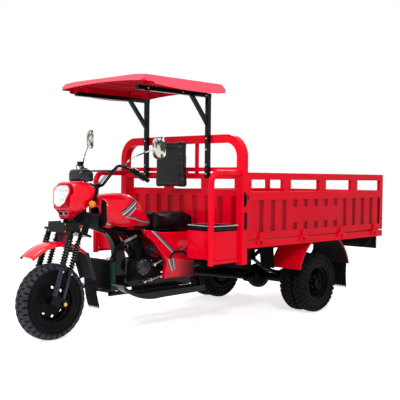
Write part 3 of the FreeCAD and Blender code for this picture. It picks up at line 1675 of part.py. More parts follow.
def roof_lips():
    """What trims the skirts' lower edge: it sags along the sides and arches over the front and rear."""
    front, rear = behind(s.roof_front_back), behind(s.roof_rear_back)
    half = s.roof_half_width
    low = s.side_lip_low - 60
    middle = front / 2 + rear / 2
    sides = prism(
        "side_lip",
        "XZ",
        [
            (rear - 10, low),
            (rear - 10, s.rear_corner_lip),
            [(middle, s.side_lip_low), (front + 10, s.front_corner_lip)],
            (front + 10, low),
        ],
        -half - 10,
        half + 10,
    )
    ends = []
    for name, x, corner, high in (
        ("front", (front - 100, front + 10), s.front_corner_lip, s.front_lip_high),
        ("rear", (rear - 10, rear + 100), s.rear_corner_lip, s.rear_lip_high),
    ):
        points = [(-half, low), (-half, corner), [(0, high), (half, corner)], (half, low)]
        ends.append(prism(f"{name}_lip", "YZ", points, *x))
    return [sides] + ends


def rear_axle():
    """Axle tube with the differential bowl, back plates and the wheel spindles."""
    x, z = rear_axle_x, rear_axle_z
    plate_y = twin_middle_y - 104 - s.move_gap - 7
    tube_part = cylinder("axle_tube", s.axle_tube_radius, plate_y * 2, (x, -plate_y, z), ALONG_Y)
    bowl = turned(
        "differential",
        [
            (-90, 0),
            (-90, 40),
            [(-62, 94), (0, s.differential_radius)],
            [(62, 94), (90, 40)],
            (90, 0),
        ],
        x,
        z,
    )
    nose = cylinder("pinion_nose", 46, s.nose_reach - 20, (x + 20, 0, z), ALONG_X)
    parts = [tube_part, bowl, nose]
    end = twin_middle_y + 32
    for side, sign in (("left", 1), ("right", -1)):
        start = plate_y if sign > 0 else -plate_y - 7
        parts.append(cylinder(f"back_plate_{side}", 104, 7, (x, start, z), ALONG_Y))
        start = plate_y if sign > 0 else -end - 2
        parts.append(cylinder(f"spindle_{side}", 20, end + 2 - plate_y, (x, start, z), ALONG_Y))
        start = end + 2 if sign > 0 else -end - 22
        parts.append(cylinder(f"hub_nut_{side}", 26, 20, (x, start, z), ALONG_Y))
    piece("rear_axle", fuse("rear_axle", parts))


def leaf_springs():
    """A pack of five curved leaves on each side, its eyes in the chassis hangers."""
    base = rear_axle_z + s.axle_tube_radius + s.seat_gap
    half = s.spring_half_length
    y = (s.rail_spread - s.spring_width / 2, s.rail_spread + s.spring_width / 2)
    rise = 150
    leaves = []
    for number in range(5):
        share = 1 - 0.17 * (4 - number)
        reach = half * share
        lift = Size.of(rise * share * share)
        low = base + s.leaf * number
        points = [
            (rear_axle_x - reach, low + lift),
            [(rear_axle_x, low), (rear_axle_x + reach, low + lift)],
            (rear_axle_x + reach, low + lift + s.leaf),
            [(rear_axle_x, low + s.leaf), (rear_axle_x - reach, low + lift + s.leaf)],
        ]
        leaves.append(prism(f"leaf_{number + 1}", "XZ", points, *y))
    eye_z = base + s.leaf * 4.5 + rise
    ends = []
    for side, sign in (("front", 1), ("rear", -1)):
        x = rear_axle_x + (half + 8) * sign
        ends.append(cylinder(f"spring_eye_{side}", 18, s.spring_width, (x, y[0], eye_z), ALONG_Y))
        low = s.rail_top - s.rail_height
        hanger_y = (s.rail_spread - s.rail_width / 2, s.rail_spread + s.rail_width / 2)
        ends.append(box(f"hanger_{side}", (x - 16, x + 16), hanger_y, (eye_z, low - s.seat_gap)))
    saddle = box("spring_clamp", (rear_axle_x - 40, rear_axle_x + 40), y, (base, base + s.leaf * 5 + 10))
    left = fuse("leaf_spring_left", leaves + ends + [saddle])
    piece("leaf_springs", group("leaf_springs", [left, mirrored("leaf_spring_right", left)]))


def drive_line():
    """Propeller shaft between its two joint flanges, and the exhaust on the right."""
    length, radius = s.flange_length, s.flange_radius
    front = behind(s.engine_rear_back) - s.seat_gap - length
    rear = rear_axle_x + s.nose_reach + s.seat_gap
    half = length / 2
    shaft = [
        tube("shaft_tube", [(front + half, 0, s.shaft_high), (rear + half, 0, rear_axle_z)], s.shaft_radius),
        cylinder("front_flange", radius, length, (front, 0, s.shaft_high), ALONG_X),
        cylinder("rear_flange", radius, length, (rear, 0, rear_axle_z), ALONG_X),
    ]
    piece("propeller_shaft", fuse("propeller_shaft", shaft))
    y = -(s.engine_half_width - 40)
    pipe = tube(
        "exhaust_pipe",
        [
            (behind(786), -70 - s.seat_gap, s.exhaust_port),
            (behind(786), -160, s.exhaust_port),
            (behind(880), -168, s.exhaust_low),
            (behind(1290), -168, s.exhaust_low),
            (behind(1400), y - 120, s.silencer_high),
        ],
        s.exhaust_radius,
        46,
    )
    at = (behind(s.silencer_back), y - 120, s.silencer_high)
    silencer = cylinder("silencer", s.silencer_radius, s.silencer_length, at, ALONG_X)
    piece("exhaust", fuse("exhaust", [pipe, silencer]))


def rear_fenders():
    """Curved sheets before and behind each pair of wheels, with an outer lip, and rubber flaps."""
    x, z = rear_axle_x - s.rear_fender_shift, s.rear_fender_centre_height
    outer = s.rear_fender_radius
    inside, outside = s.rear_fender_inside, s.rear_fender_outside
    points = [
        (inside, outer - 3),
        (inside, outer),
        (outside - 3, outer),
        (outside - 3, outer + 16),
        (outside, outer + 16),
        (outside, outer - 3),
    ]
    arch = turned("fender_arch", points, x, z)
    keep_high = (s.rear_fender_low, s.sill_low - s.seat_gap)
    keep = box("fender_keep", (x - 600, x + 600), (inside - 1, outside + 1), keep_high)
    left = common("rear_fender_left", arch, keep)
    piece("rear_fenders", group("rear_fenders", [left, mirrored("rear_fender_right", left)]))
    fall = s.rear_fender_low - z
    reach = math.sqrt(outer.number**2 - fall.number**2)
    flap = prism(
        "flap",
        "XZ",
        [
            (x - reach + 1, s.rear_fender_low - s.seat_gap),
            (x - reach - 4, s.rear_fender_low - s.seat_gap),
            (x - reach - 26, 170),
            (x - reach - 21, 170),
        ],
        inside + 20,
        outside - 24,
    )
    piece("rear_mud_flaps", group("rear_mud_flaps", [flap, mirrored("flap_right", flap)]))


def tail():
    """The board under the tailgate with its lamps."""
    half = bed_side - 60
    low, high = s.tail_low, s.sill_low - s.seat_gap
    board = box("tail_board", (bed_rear, bed_rear + 14), (-half, half), (low, high))
    piece("tail_board", board)
    lamps = []
    for side, sign in (("left", 1), ("right", -1)):
        y = (half - 190, half - 30) if sign > 0 else (30 - half, 190 - half)
        x = (bed_rear - 18, bed_rear - s.seat_gap)
        lamps.append(box(f"tail_lamp_{side}", x, y, (low + 26, low + 86)))
    piece("tail_lamps", group("tail_lamps", lamps))


front_wheel()
rear_wheels()
fork()
front_fender()
lamp_housing()
instruments()
handlebar()
front_frame()
engine_cradle()
chassis()
engine()
fuel_tank()
seats()
side_covers()
footboards()
foot_levers()
side_seats()
bed_floor()
side_gates()
tailgate()
bed_front_wall()
headboard()
canopy()
rear_axle()
leaf_springs()
drive_line()
rear_fenders()
tail()

doc.recompute()
for item in doc.Objects:
    if "Invalid" in item.State or "Error" in item.State:
        raise RuntimeError(f"{item.Name} did not rebuild: {item.State}")
for item in pieces:
    if item.Shape.isNull() or not item.Shape.isValid() or not item.Shape.Solids:
        raise RuntimeError(f"{item.Label} has no sound solid")

os.makedirs("parts", exist_ok=True)
for item in pieces:
    item.Shape.exportStep(f"parts/{item.Label}.step")
    print(f"{item.Label}: {len(item.Shape.Solids)} solids")
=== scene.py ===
# %% [markdown]
# # A motor cargo tricycle, finished in Blender
# The frame, wheels, gates and joints of this three-wheeler come as a fixed model in metres. This
# lesson gives every surface its finish and models what the fixed model leaves plain: tyre tread,
# coil springs, padded seats, the lamp, the engine's covers, latches, flaps and bolts.

# %% Load the fixed model
import json
import math

import bmesh
import bpy
from mathutils import Matrix, Quaternion, Vector


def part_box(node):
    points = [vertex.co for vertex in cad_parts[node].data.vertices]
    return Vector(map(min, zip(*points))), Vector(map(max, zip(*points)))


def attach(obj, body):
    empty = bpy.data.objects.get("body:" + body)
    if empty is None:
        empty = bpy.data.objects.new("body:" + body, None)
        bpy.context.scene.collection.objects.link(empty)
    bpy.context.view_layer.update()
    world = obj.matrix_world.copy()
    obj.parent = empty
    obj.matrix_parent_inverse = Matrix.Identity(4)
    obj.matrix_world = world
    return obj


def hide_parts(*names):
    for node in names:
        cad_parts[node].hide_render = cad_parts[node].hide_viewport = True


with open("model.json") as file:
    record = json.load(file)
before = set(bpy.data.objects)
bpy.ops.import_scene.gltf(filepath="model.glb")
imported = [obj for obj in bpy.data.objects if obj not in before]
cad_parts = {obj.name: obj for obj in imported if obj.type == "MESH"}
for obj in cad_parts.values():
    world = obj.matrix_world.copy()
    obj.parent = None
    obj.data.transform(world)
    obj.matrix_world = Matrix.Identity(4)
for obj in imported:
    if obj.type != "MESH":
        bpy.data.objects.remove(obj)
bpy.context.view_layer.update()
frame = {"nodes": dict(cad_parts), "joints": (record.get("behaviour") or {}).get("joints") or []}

joints = {joint["name"]: joint for joint in frame["joints"]}

# %% [markdown]
# ## Camera
# The camera stands in front of the vehicle's left shoulder, at about chest height, with a long
# lens. Its place and turn were found by matching the wheels and the bed edges, so they are plain
# numbers here: where it stands, how far it is turned, and how much it leans.

# %% Camera
CAMERA_PLACE = Vector((4.7057, 4.5012, 1.1879))
CAMERA_YAW, CAMERA_PITCH, CAMERA_ROLL = 0.7650, -0.0303, 0.0097
PHOTO_WIDTH, FOCAL_PIXELS, SENSOR_WIDTH = 400, 747.05, 36

level = math.cos(CAMERA_PITCH)
sight = Vector((-math.cos(CAMERA_YAW) * level, -math.sin(CAMERA_YAW) * level, math.sin(CAMERA_PITCH)))
roll = Quaternion((0, 0, 1), CAMERA_ROLL)
bpy.ops.object.camera_add(location=CAMERA_PLACE)
camera = bpy.context.object
camera.rotation_euler = (sight.to_track_quat("-Z", "Y") @ roll).to_euler()
camera.data.sensor_width = SENSOR_WIDTH
camera.data.lens = FOCAL_PIXELS / PHOTO_WIDTH * SENSOR_WIDTH
bpy.context.scene.camera = camera
print("lens", round(camera.data.lens, 1), "mm")

# %% [markdown]
# ## Materials as expressions
# A material is a small network of nodes. Wiring it by hand is slow to read, so one class holds a
# number or colour inside the network, and plus, minus and times on it add the Math nodes. A second
# class holds the whole finish and adds any other node.


# %% Shader helpers
class Value:
    """A number or colour inside a finish; arithmetic on it adds Math nodes."""

    def __init__(self, finish, socket):
        self.finish = finish
        self.socket = socket

    def math(self, operation, *values):
        return self.finish.node("ShaderNodeMath", {"operation": operation}, *values)

    def __add__(self, other):
        return self.math("ADD", self, other)

    __radd__ = __add__

    def __mul__(self, other):
        return self.math("MULTIPLY", self, other)

    __rmul__ = __mul__

    def __sub__(self, other):
        return self.math("SUBTRACT", self, other)

    def __rsub__(self, other):
        return self.math("SUBTRACT", other, self)

    def __abs__(self):
        return self.math("ABSOLUTE", self)

    def most(self, other):
        return self.math("MAXIMUM", self, other)

    def sine(self):
        return self.math("SINE", self)

    def step(self, edge, soft):
        """0 below the edge and 1 above it, with a soft change between them."""
        settings = {"interpolation_type": "SMOOTHSTEP"}
        return self.finish.node("ShaderNodeMapRange", settings, self, edge - soft, edge + soft, 0.0, 1.0)

    def between(self, low, high, soft):
        """1 between two values and 0 outside them."""
        return self.step(low, soft) * (1.0 - self.step(high, soft))

    def output(self, number):
        return Value(self.finish, self.socket.node.outputs[number])


class Finish:
    """One material: a Principled shader and a method that adds any node."""

    def __init__(self, name, **sockets):
        self.material = bpy.data.materials.new(name)
        self.material.use_nodes = True
        self.tree = self.material.node_tree
        self.shader = self.tree.nodes["Principled BSDF"]
        self.place = self.node("ShaderNodeTexCoord", output=3)
        self.facing = self.place.output(1)
        self.set(**sockets)

    def feed(self, socket, value):
        if isinstance(value, Value):
            self.tree.links.new(value.socket, socket)
        else:
            socket.default_value = value

    def node(self, kind, settings=None, *values, output=0, at=None, **named):
        """Adds a node: settings first, then its sockets by order, by number or by name."""
        made = self.tree.nodes.new(kind)
        for key, value in (settings or {}).items():
            setattr(made, key, value)
        for key, value in [*enumerate(values), *(at or {}).items()]:
            self.feed(made.inputs[key], value)
        for key, value in named.items():
            self.feed(made.inputs[key.replace("_", " ")], value)
        return Value(self, made.outputs[output])

    def set(self, **sockets):
        for key, value in sockets.items():
            self.feed(self.shader.inputs[key.replace("_", " ")], value)

    def noise(self, scale, detail=3.0, place=None):
        return self.node("ShaderNodeTexNoise", None, Vector=place or self.place, Scale=scale, Detail=detail)

    def mix(self, share, first, second):
        """A colour between two others."""
        sockets = {0: share, 6: first, 7: second}
        return self.node("ShaderNodeMix", {"data_type": "RGBA"}, output=2, at=sockets)

    def vector(self, operation, first, second):
        output = 1 if operation == "DOT_PRODUCT" else 0
        return self.node("ShaderNodeVectorMath", {"operation": operation}, first, second, output=output)

    def axes(self, place=None):
        x = self.node("ShaderNodeSeparateXYZ", None, place or self.place)
        return x, x.output(1), x.output(2)

    def bump(self, height, strength, distance):
        bump = self.node("ShaderNodeBump", None, Strength=strength, Distance=distance, Height=height)
        self.set(Normal=bump)


def colour(red, green, blue):
    """A screen colour, 0 to 255, as the linear colour that a socket takes."""
    linear = []
    for part in (red, green, blue):
        part /= 255
        linear.append(part / 12.92 if part <= 0.04045 else ((part + 0.055) / 1.055) ** 2.4)
    return (*linear, 1.0)


print("shader helpers ready")

# %% [markdown]
# ## Painted metal
# The bodywork is bright red gloss paint over pressed steel. Sprayed paint isn't perfectly flat: a
# very fine ripple breaks up the reflections, and the colour shifts a little from panel to panel.
# A thin clear coat gives the white edge highlights, while the base stays low in gloss, because a
# strong base gloss would turn the red to pink under a white sky.

# %% Paint
RED_BRIGHT = colour(238, 0, 36)
RED_DEEP = colour(214, 0, 30)
RED_SHADE = colour(120, 0, 20)
NEAR_BLACK = colour(24, 22, 24)
GATE_FACE, GROOVE_DEPTH = 0.719, 0.016
WALL_FACE, BED_TOP = 0.236, 0.6935
LOZENGE_PACE, ROOF_RIB_PITCH = 110.0, 0.15


def gloss_paint(name, bright, deep, roughness=0.3, coat=0.10):
    """Sprayed paint: a slow change of tone, a fine ripple and a clear coat."""
    paint = Finish(name, Coat_Roughness=0.05, Specular_IOR_Level=0.05)
    tone = paint.noise(2.5, 2.0)
    dust = paint.noise(38.0, 5.0).step(0.66, 0.12)
    paint.ripple = paint.noise(160.0, 2.0)
    paint.skin = paint.mix(tone, bright, deep)
    paint.set(Base_Color=paint.skin)
    paint.set(Roughness=roughness + 0.1 * tone + 0.12 * dust, Coat_Weight=coat - 0.4 * coat * dust)
    paint.bump(paint.ripple, 0.05, 0.0005)
    return paint


def fender_paint(name, centre, inner, coat, red_from=-9.0):
    """Red outside and dark grey inside: the side that faces the wheel's middle is the inner one."""
    paint = gloss_paint(name, RED_BRIGHT, RED_DEEP)
    outward = paint.vector("MULTIPLY", paint.vector("SUBTRACT", paint.place, centre), (1, 0, 1))
    inside = 1.0 - paint.vector("DOT_PRODUCT", paint.facing, outward).step(0.0, 0.01)
    x, _, _ = paint.axes()
    inside = inside.most(1.0 - x.step(red_from, 0.010))
    paint.set(Base_Color=paint.mix(inside, paint.skin, inner))
    paint.set(Coat_Weight=coat - coat * inside, Roughness=0.26 + 0.4 * inside)
    return paint.material


def board_paint(name):
    """The tail board: red behind, with painted shade, near black, on the face that looks forward under the
    bed.
    """
    paint = gloss_paint(name, RED_BRIGHT, RED_DEEP)
    # Painted shade on the forward face under the bed.
    forward = paint.vector("DOT_PRODUCT", paint.facing, (1, 0, 0)).step(0.5, 0.1)
    paint.set(Base_Color=paint.mix(forward, paint.skin, NEAR_BLACK), Roughness=0.3 + 0.4 * forward)
    return paint.material


def ribbed_paint(name, side_face, depth):
    """Paint on the gates: painted shade in the pressed grooves, and a little darker towards the bottom."""
    paint = gloss_paint(name, RED_BRIGHT, RED_DEEP)
    _, y, z = paint.axes()
    # Painted shade: the groove mask darkens the paint where the grooves sink in.
    low = (side_face - abs(y)).between(depth * 0.35, depth * 1.6, depth * 0.25)
    foot = 1.0 - z.step(0.80, 0.10)
    paint.set(Base_Color=paint.mix(low * 0.75 + foot * 0.15, paint.skin, RED_SHADE))
    return paint.material


def wall_finish(name, front_face):
    """Paint on the wall behind the rider: painted shade along the edges of its sunk panels."""
    paint = gloss_paint(name, RED_BRIGHT, RED_DEEP)
    sunk = (front_face - paint.axes()[0]).between(0.0015, 0.020, 0.001)
    # Painted shade in the sunk panels' edges.
    paint.set(Base_Color=paint.mix(sunk * 0.55, paint.skin, RED_SHADE))
    return paint.material


def floor_paint():
    """The bed's painted tread plate: raised lozenges on the top side, with scuffed crowns."""
    paint = gloss_paint("bed_floor_paint", RED_BRIGHT, RED_DEEP, 0.34, 0.08)
    x, y, z = paint.axes()
    pattern = ((x + y) * LOZENGE_PACE).sine() * ((x - y) * LOZENGE_PACE).sine()
    plate = z.step(BED_TOP, 0.0003)
    scuff = paint.noise(3.0, 6.0).step(0.55, 0.25) * plate
    paint.set(Base_Color=paint.mix(scuff * 0.22, paint.skin, RED_SHADE))
    paint.bump(paint.ripple * 0.2 + pattern.step(0.45, 0.15) * plate, 0.5, 0.0016)
    return paint.material


def canopy_paint():
    """The roof: long pressed ribs, a painted sheen on top, a duller underside with painted shade."""
    paint = gloss_paint("canopy_paint", RED_BRIGHT, RED_DEEP, 0.2, 0.45)
    y = paint.axes()[1]
    ribs = abs((y * (math.pi / ROOF_RIB_PITCH)).sine()).step(0.82, 0.08)
    under = 1.0 - paint.axes(paint.facing)[2].step(-0.2, 0.05)
    # Painted sheen: faces that look up turn paler, in place of the sky's reflection.
    sky_sheen_share = paint.axes(paint.facing)[2].step(0.1, 0.2) * 0.55
    sky_sheen_skin = paint.mix(sky_sheen_share, paint.skin, colour(206, 84, 108))
    # Painted shade on the underside, deeper at the ribs.
    paint.set(Base_Color=paint.mix(under * (0.25 + 0.5 * ribs), sky_sheen_skin, RED_SHADE))
    paint.set(Coat_Weight=0.45 - 0.45 * under, Roughness=0.2 + 0.5 * under)
    paint.bump(ribs, 0.35, 0.003)
    return paint.material


red_paint = gloss_paint("red_paint", RED_BRIGHT, RED_DEEP).material
moulded_red = gloss_paint("moulded_red", RED_BRIGHT, RED_DEEP, 0.26, 0.4).material
black_paint = gloss_paint("black_paint", colour(5, 5, 8), colour(10, 10, 14), 0.2, 0.22).material
pod_black = gloss_paint("pod_black", colour(16, 18, 25), colour(28, 31, 42), 0.34, 0.5).material
chassis_paint = gloss_paint("chassis_paint", colour(5, 5, 6), colour(12, 12, 13), 0.42, 0.02).material
gate_paint = ribbed_paint("gate_paint", GATE_FACE, GROOVE_DEPTH)
wall_paint = wall_finish("wall_paint", WALL_FACE)
bed_paint = floor_paint()
roof_paint = canopy_paint()
print("paints", len(bpy.data.materials))

# %% [markdown]
# ## Stripes on the tank and side covers
# The tank carries a chevron of thin grey, black and white stripes, and another pair runs down the
# side covers. They are sheets stuck on the paint, so they are drawn in the finish: the distance from
# a line through two places on the side gives the stripe, and a second distance along it ends it.

# %% Stripes
STRIPE_BANDS = [
    (-1.0, 1.0, colour(26, 24, 30)),
    (-0.55, 0.1, colour(128, 116, 128)),
    (0.34, 0.72, colour(226, 222, 226)),
]


def band(paint, start, end, half_width):
    """How far each point lies from a line in the side view, in half widths, and 1 along its length."""
    x, _, z = paint.axes()
    run, rise = end[0] - start[0], end[1] - start[1]
    length = math.hypot(run, rise)
    ahead, above = x - start[0], z - start[1]
    across = (ahead * (-rise / length) + above * (run / length)) * (1 / half_width)
    along = (ahead * (run / length) + above * (rise / length)).between(0.0, length, 0.002)
    return across, along


def striped_paint(name, lines, outside):
    """Red paint with painted shade low at the rear; each stripe on the outward sides has its ends and half
    width.
    """
    paint = gloss_paint(name, RED_BRIGHT, RED_DEEP, 0.26, 0.4)
    side = abs(paint.axes(paint.facing)[1]).step(outside, 0.1)
    skin = paint.skin
    for start, end, half_width in lines:
        across, along = band(paint, start, end, half_width)
        on = along * side
        for low, high, tint in STRIPE_BANDS:
            skin = paint.mix(across.between(low, high, 0.12) * on, skin, tint)
    x, _, z = paint.axes()
    # Painted shade: low at the rear the paint turns near black.
    low_rear_shade = (1.0 - x.step(0.42, 0.16)) * (1.0 - z.step(0.53, 0.06))
    paint.set(Base_Color=paint.mix(low_rear_shade, skin, colour(46, 0, 10)), Coat_Weight=0.4 - 0.4 * low_rear_shade)
    return paint.material


TANK_LINES = [
    ((1.022, 0.905), (0.860, 1.000), 0.020),
    ((0.990, 0.876), (0.880, 0.955), 0.014),
    ((0.964, 0.880), (0.906, 0.868), 0.008),
    ((0.906, 0.870), (0.800, 0.840), 0.009),
    ((0.804, 0.842), (0.700, 0.830), 0.009),
]
COVER_LINES = [
    ((0.775, 0.778), (0.528, 0.575), 0.016),
    ((0.500, 0.585), (0.418, 0.626), 0.009),
    ((0.585, 0.535), (0.545, 0.440), 0.020),
    ((0.540, 0.540), (0.520, 0.450), 0.016),
]
tank_paint = striped_paint("tank_paint", TANK_LINES, 0.35)
cover_paint = striped_paint("cover_paint", COVER_LINES, 0.5)
print("stripes", len(TANK_LINES) + len(COVER_LINES))

# %% [markdown]
# ## Rubber, plastic and vinyl
# Tyres are matt with a greyish bloom, flaps are duller still, and moulded plastic has a fine even
# grain. The seats are covered with vinyl: a leather grain of small cells, with a soft sheen that is
# stronger where the rider polishes it.

# %% Soft and moulded materials


def rubber():
    """Matt tyre rubber with a grey bloom in patches."""
    skin = Finish("tyre_rubber", Specular_IOR_Level=0.08)
    bloom = skin.noise(9.0, 6.0)
    skin.set(Base_Color=skin.mix(bloom.step(0.55, 0.25), colour(8, 8, 9), colour(23, 23, 25)))
    skin.set(Roughness=0.55 + 0.25 * bloom)
    skin.bump(skin.noise(260.0, 4.0), 0.25, 0.0012)
    return skin.material


def flap_rubber():
    """Flat sheet rubber with fine ribs and a little dust."""
    sheet = Finish("flap_rubber", Specular_IOR_Level=0.05)
    dust = sheet.noise(14.0, 5.0)
    ribs = (sheet.axes()[1] * 620.0).sine()
    sheet.set(Base_Color=sheet.mix(dust.step(0.6, 0.2), colour(8, 8, 9), colour(20, 20, 20)))
    sheet.set(Roughness=0.5 + 0.25 * dust)
    sheet.bump(ribs, 0.3, 0.0008)
    return sheet.material


def grained_plastic(name, dark, pale, roughness, grain):
    """Moulded plastic with an even grain."""
    shell = Finish(name, Specular_IOR_Level=0.09)
    tone = shell.noise(6.0, 3.0)
    shell.set(Base_Color=shell.mix(tone, dark, pale), Roughness=roughness + 0.12 * tone)
    shell.bump(shell.noise(grain, 3.0), 0.16, 0.0005)
    return shell.material


def vinyl(name, coat):
    """Leather-grained vinyl: small cells with creases between them."""
    cover = Finish(name, Coat_Roughness=0.12, Specular_IOR_Level=0.07)
    to_edge = {"feature": "DISTANCE_TO_EDGE"}
    cells = cover.node("ShaderNodeTexVoronoi", to_edge, Vector=cover.place, Scale=330.0)
    crease = 1.0 - cells.step(0.08, 0.08)
    wear_and_sheen = cover.noise(7.0, 4.0)
    folds = cover.noise(11.0, 2.0)
    cover.set(Base_Color=cover.mix(wear_and_sheen, colour(6, 6, 9), colour(14, 14, 18)))
    cover.set(Roughness=0.3 + 0.16 * wear_and_sheen + 0.1 * crease, Coat_Weight=coat - 0.6 * coat * wear_and_sheen)
    cover.bump(1.0 - crease + 0.4 * cover.noise(60.0, 3.0) + 6.0 * folds, 0.22, 0.0007)
    return cover.material


def lug_rubber():
    """The tread's lugs: a paler grey, a painted highlight in random patches, with fine moulding lines."""
    skin = Finish("lug_rubber", Specular_IOR_Level=0.16)
    wear_and_sheen = skin.noise(24.0, 4.0)
    # The paler grey is a painted highlight where the lugs are lit.
    skin.set(Base_Color=skin.mix(wear_and_sheen, colour(20, 21, 25), colour(60, 62, 70)), Roughness=0.42 + 0.2 * wear_and_sheen)
    skin.bump(skin.noise(190.0, 3.0), 0.25, 0.0012)
    return skin.material


tyre_rubber = rubber()
lug_finish = lug_rubber()
sheet_rubber = flap_rubber()
black_plastic = grained_plastic("black_plastic", colour(8, 8, 11), colour(17, 17, 21), 0.3, 700.0)
black_vinyl = vinyl("black_vinyl", 0.14)
print("soft materials ready")

# %% [markdown]
# ## Bare metals and lenses
# Struts, bolts and pipes are bare or plated metal: fully metallic, with brushed streaks that change
# the roughness. Lenses are tinted and ribbed; they let some of the lamp inside show through their
# alpha, which is lighter to render than real refraction.

# %% Metals and lenses


def metal(name, dark, pale, roughness, streaks=(40.0, 40.0, 400.0)):
    """Bare or plated metal with fine streaks."""
    plate = Finish(name, Metallic=1.0)
    lines = plate.noise(1.0, 4.0, plate.vector("MULTIPLY", plate.place, streaks))
    plate.set(Base_Color=plate.mix(lines, dark, pale), Roughness=roughness + 0.16 * lines)
    plate.bump(lines, 0.08, 0.0004)
    return plate.material


def lens(name, tint, pale, alpha, pitch):
    """A moulded lens with upright flutes."""
    glass = Finish(name, Coat_Weight=0.3, Coat_Roughness=0.05, Specular_IOR_Level=0.25)
    x, y, z = glass.axes()
    flutes = ((x + y) * (math.tau / pitch)).sine()
    bands = (z * (math.tau / (pitch * 1.6))).sine()
    share = glass.noise(30.0, 2.0)
    glass.set(Base_Color=glass.mix(share, tint, pale), Roughness=0.06 + 0.06 * share)
    glass.set(Alpha=alpha + 0.1 * bands)
    glass.bump(flutes + 0.5 * bands, 0.35, 0.0015)
    return glass.material


def cast_alloy(name, dark, pale):
    """Black-painted alloy castings with a sandy skin and a little grime."""
    cast = Finish(name, Metallic=0.2, Specular_IOR_Level=0.1)
    sand = cast.noise(420.0, 3.0)
    grime = cast.noise(12.0, 5.0)
    cast.set(Base_Color=cast.mix(grime.step(0.55, 0.2), dark, pale))
    cast.set(Roughness=0.36 + 0.25 * grime)
    cast.bump(sand, 0.3, 0.001)
    return cast.material


def fork_finish(tube_foot, tube_top):
    """Black enamel above, and dark plated tubes below the springs, along the leaning struts."""
    paint = gloss_paint("fork_finish", colour(4, 4, 6), colour(9, 9, 12), 0.3, 0.08)
    from_steer = paint.vector("SUBTRACT", paint.place, tuple(steer_place))
    along = paint.vector("DOT_PRODUCT", from_steer, tuple(steer_axis))
    tube = along.between(tube_foot, tube_top, 0.001)
    lines = paint.noise(1.0, 3.0, paint.vector("MULTIPLY", paint.place, (60.0, 60.0, 300.0)))
    plated = paint.mix(lines, colour(22, 25, 34), colour(62, 68, 82))
    paint.set(Base_Color=paint.mix(tube, paint.skin, plated), Metallic=tube)
    paint.set(Roughness=0.26 - 0.12 * tube + 0.1 * lines)
    return paint.material


def chrome_painted_reflection():
    """Chrome on the mirror shells with a painted reflection: dark and pale patches, as of a workshop."""
    plate = Finish("chrome_painted_reflection", Metallic=1.0)
    patches = plate.noise(26.0, 1.0, plate.vector("MULTIPLY", plate.place, (1, 1, 0.7)))
    dark = patches.step(0.50, 0.05)
    pale = plate.mix(plate.noise(9.0, 1.0), colour(196, 194, 176), colour(226, 226, 224))
    plate.set(Base_Color=plate.mix(dark, colour(70, 72, 66), pale))
    plate.set(Roughness=0.08 + 0.08 * patches)
    return plate.material


TUBE_FOOT, TUBE_TOP = -0.472, -0.275
steer_place = Vector(joints["steer"]["pos_m"])
steer_axis = Vector(joints["steer"]["axis"]).normalized()
chrome = metal("bright_chrome", colour(200, 201, 205), colour(232, 232, 235), 0.05)
zinc = metal("zinc_bolts", colour(168, 164, 150), colour(205, 200, 186), 0.24)
brass = metal("brass_fitting", colour(186, 148, 78), colour(214, 180, 112), 0.24)
steel_pipe = metal("steel_pipe", colour(12, 12, 12), colour(28, 27, 26), 0.46)
mirror_glass = metal("mirror_glass", colour(214, 220, 226), colour(236, 240, 244), 0.02)
cast_metal = cast_alloy("cast_metal", colour(9, 9, 11), colour(30, 29, 30))
worn_alloy = cast_alloy("worn_alloy", colour(44, 40, 46), colour(104, 96, 104))
clear_lens = lens("clear_lens", colour(226, 230, 236), colour(250, 251, 253), 0.22, 0.022)
amber_lens = lens("amber_lens", colour(238, 112, 6), colour(255, 160, 24), 0.9, 0.007)
red_lens = lens("red_lens", colour(150, 2, 6), colour(196, 8, 12), 0.96, 0.007)
fork_paint = fork_finish(TUBE_FOOT, TUBE_TOP)
spring_enamel = gloss_paint("spring_enamel", colour(6, 6, 8), colour(12, 12, 15), 0.16, 0.7).material
mirror_chrome = chrome_painted_reflection()
print("materials", len(bpy.data.materials))

# %% [markdown]
# ## Finishing the fixed model
# Most nodes have the right shape already, so they only need their finish. A table says which
# finish goes on which nodes; the few that get modelled again below still take one first.

# %% Finish the nodes
SIDES = {"left": 1, "right": -1}
FENDER_RED_FROM = 1.318
ARCH_BEHIND_HUB, ARCH_Z = 0.058, 0.309


def middle_of(name):
    """The middle of a node's box."""
    low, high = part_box(name)
    return (low + high) / 2


front_hub = middle_of("front_tyre")
rear_hub = {side: middle_of(f"rear_tyres_{side}") for side in SIDES}
rear_arch = Vector((rear_hub["left"].x - ARCH_BEHIND_HUB, 0, ARCH_Z))
front_fender_paint = fender_paint(
    "front_fender_paint", tuple(front_hub), colour(50, 47, 52), 1.0, FENDER_RED_FROM
)
tail_board_paint = board_paint("tail_board_paint")
rear_fender_paint = fender_paint("rear_fender_paint", tuple(rear_arch), NEAR_BLACK, 0.25)

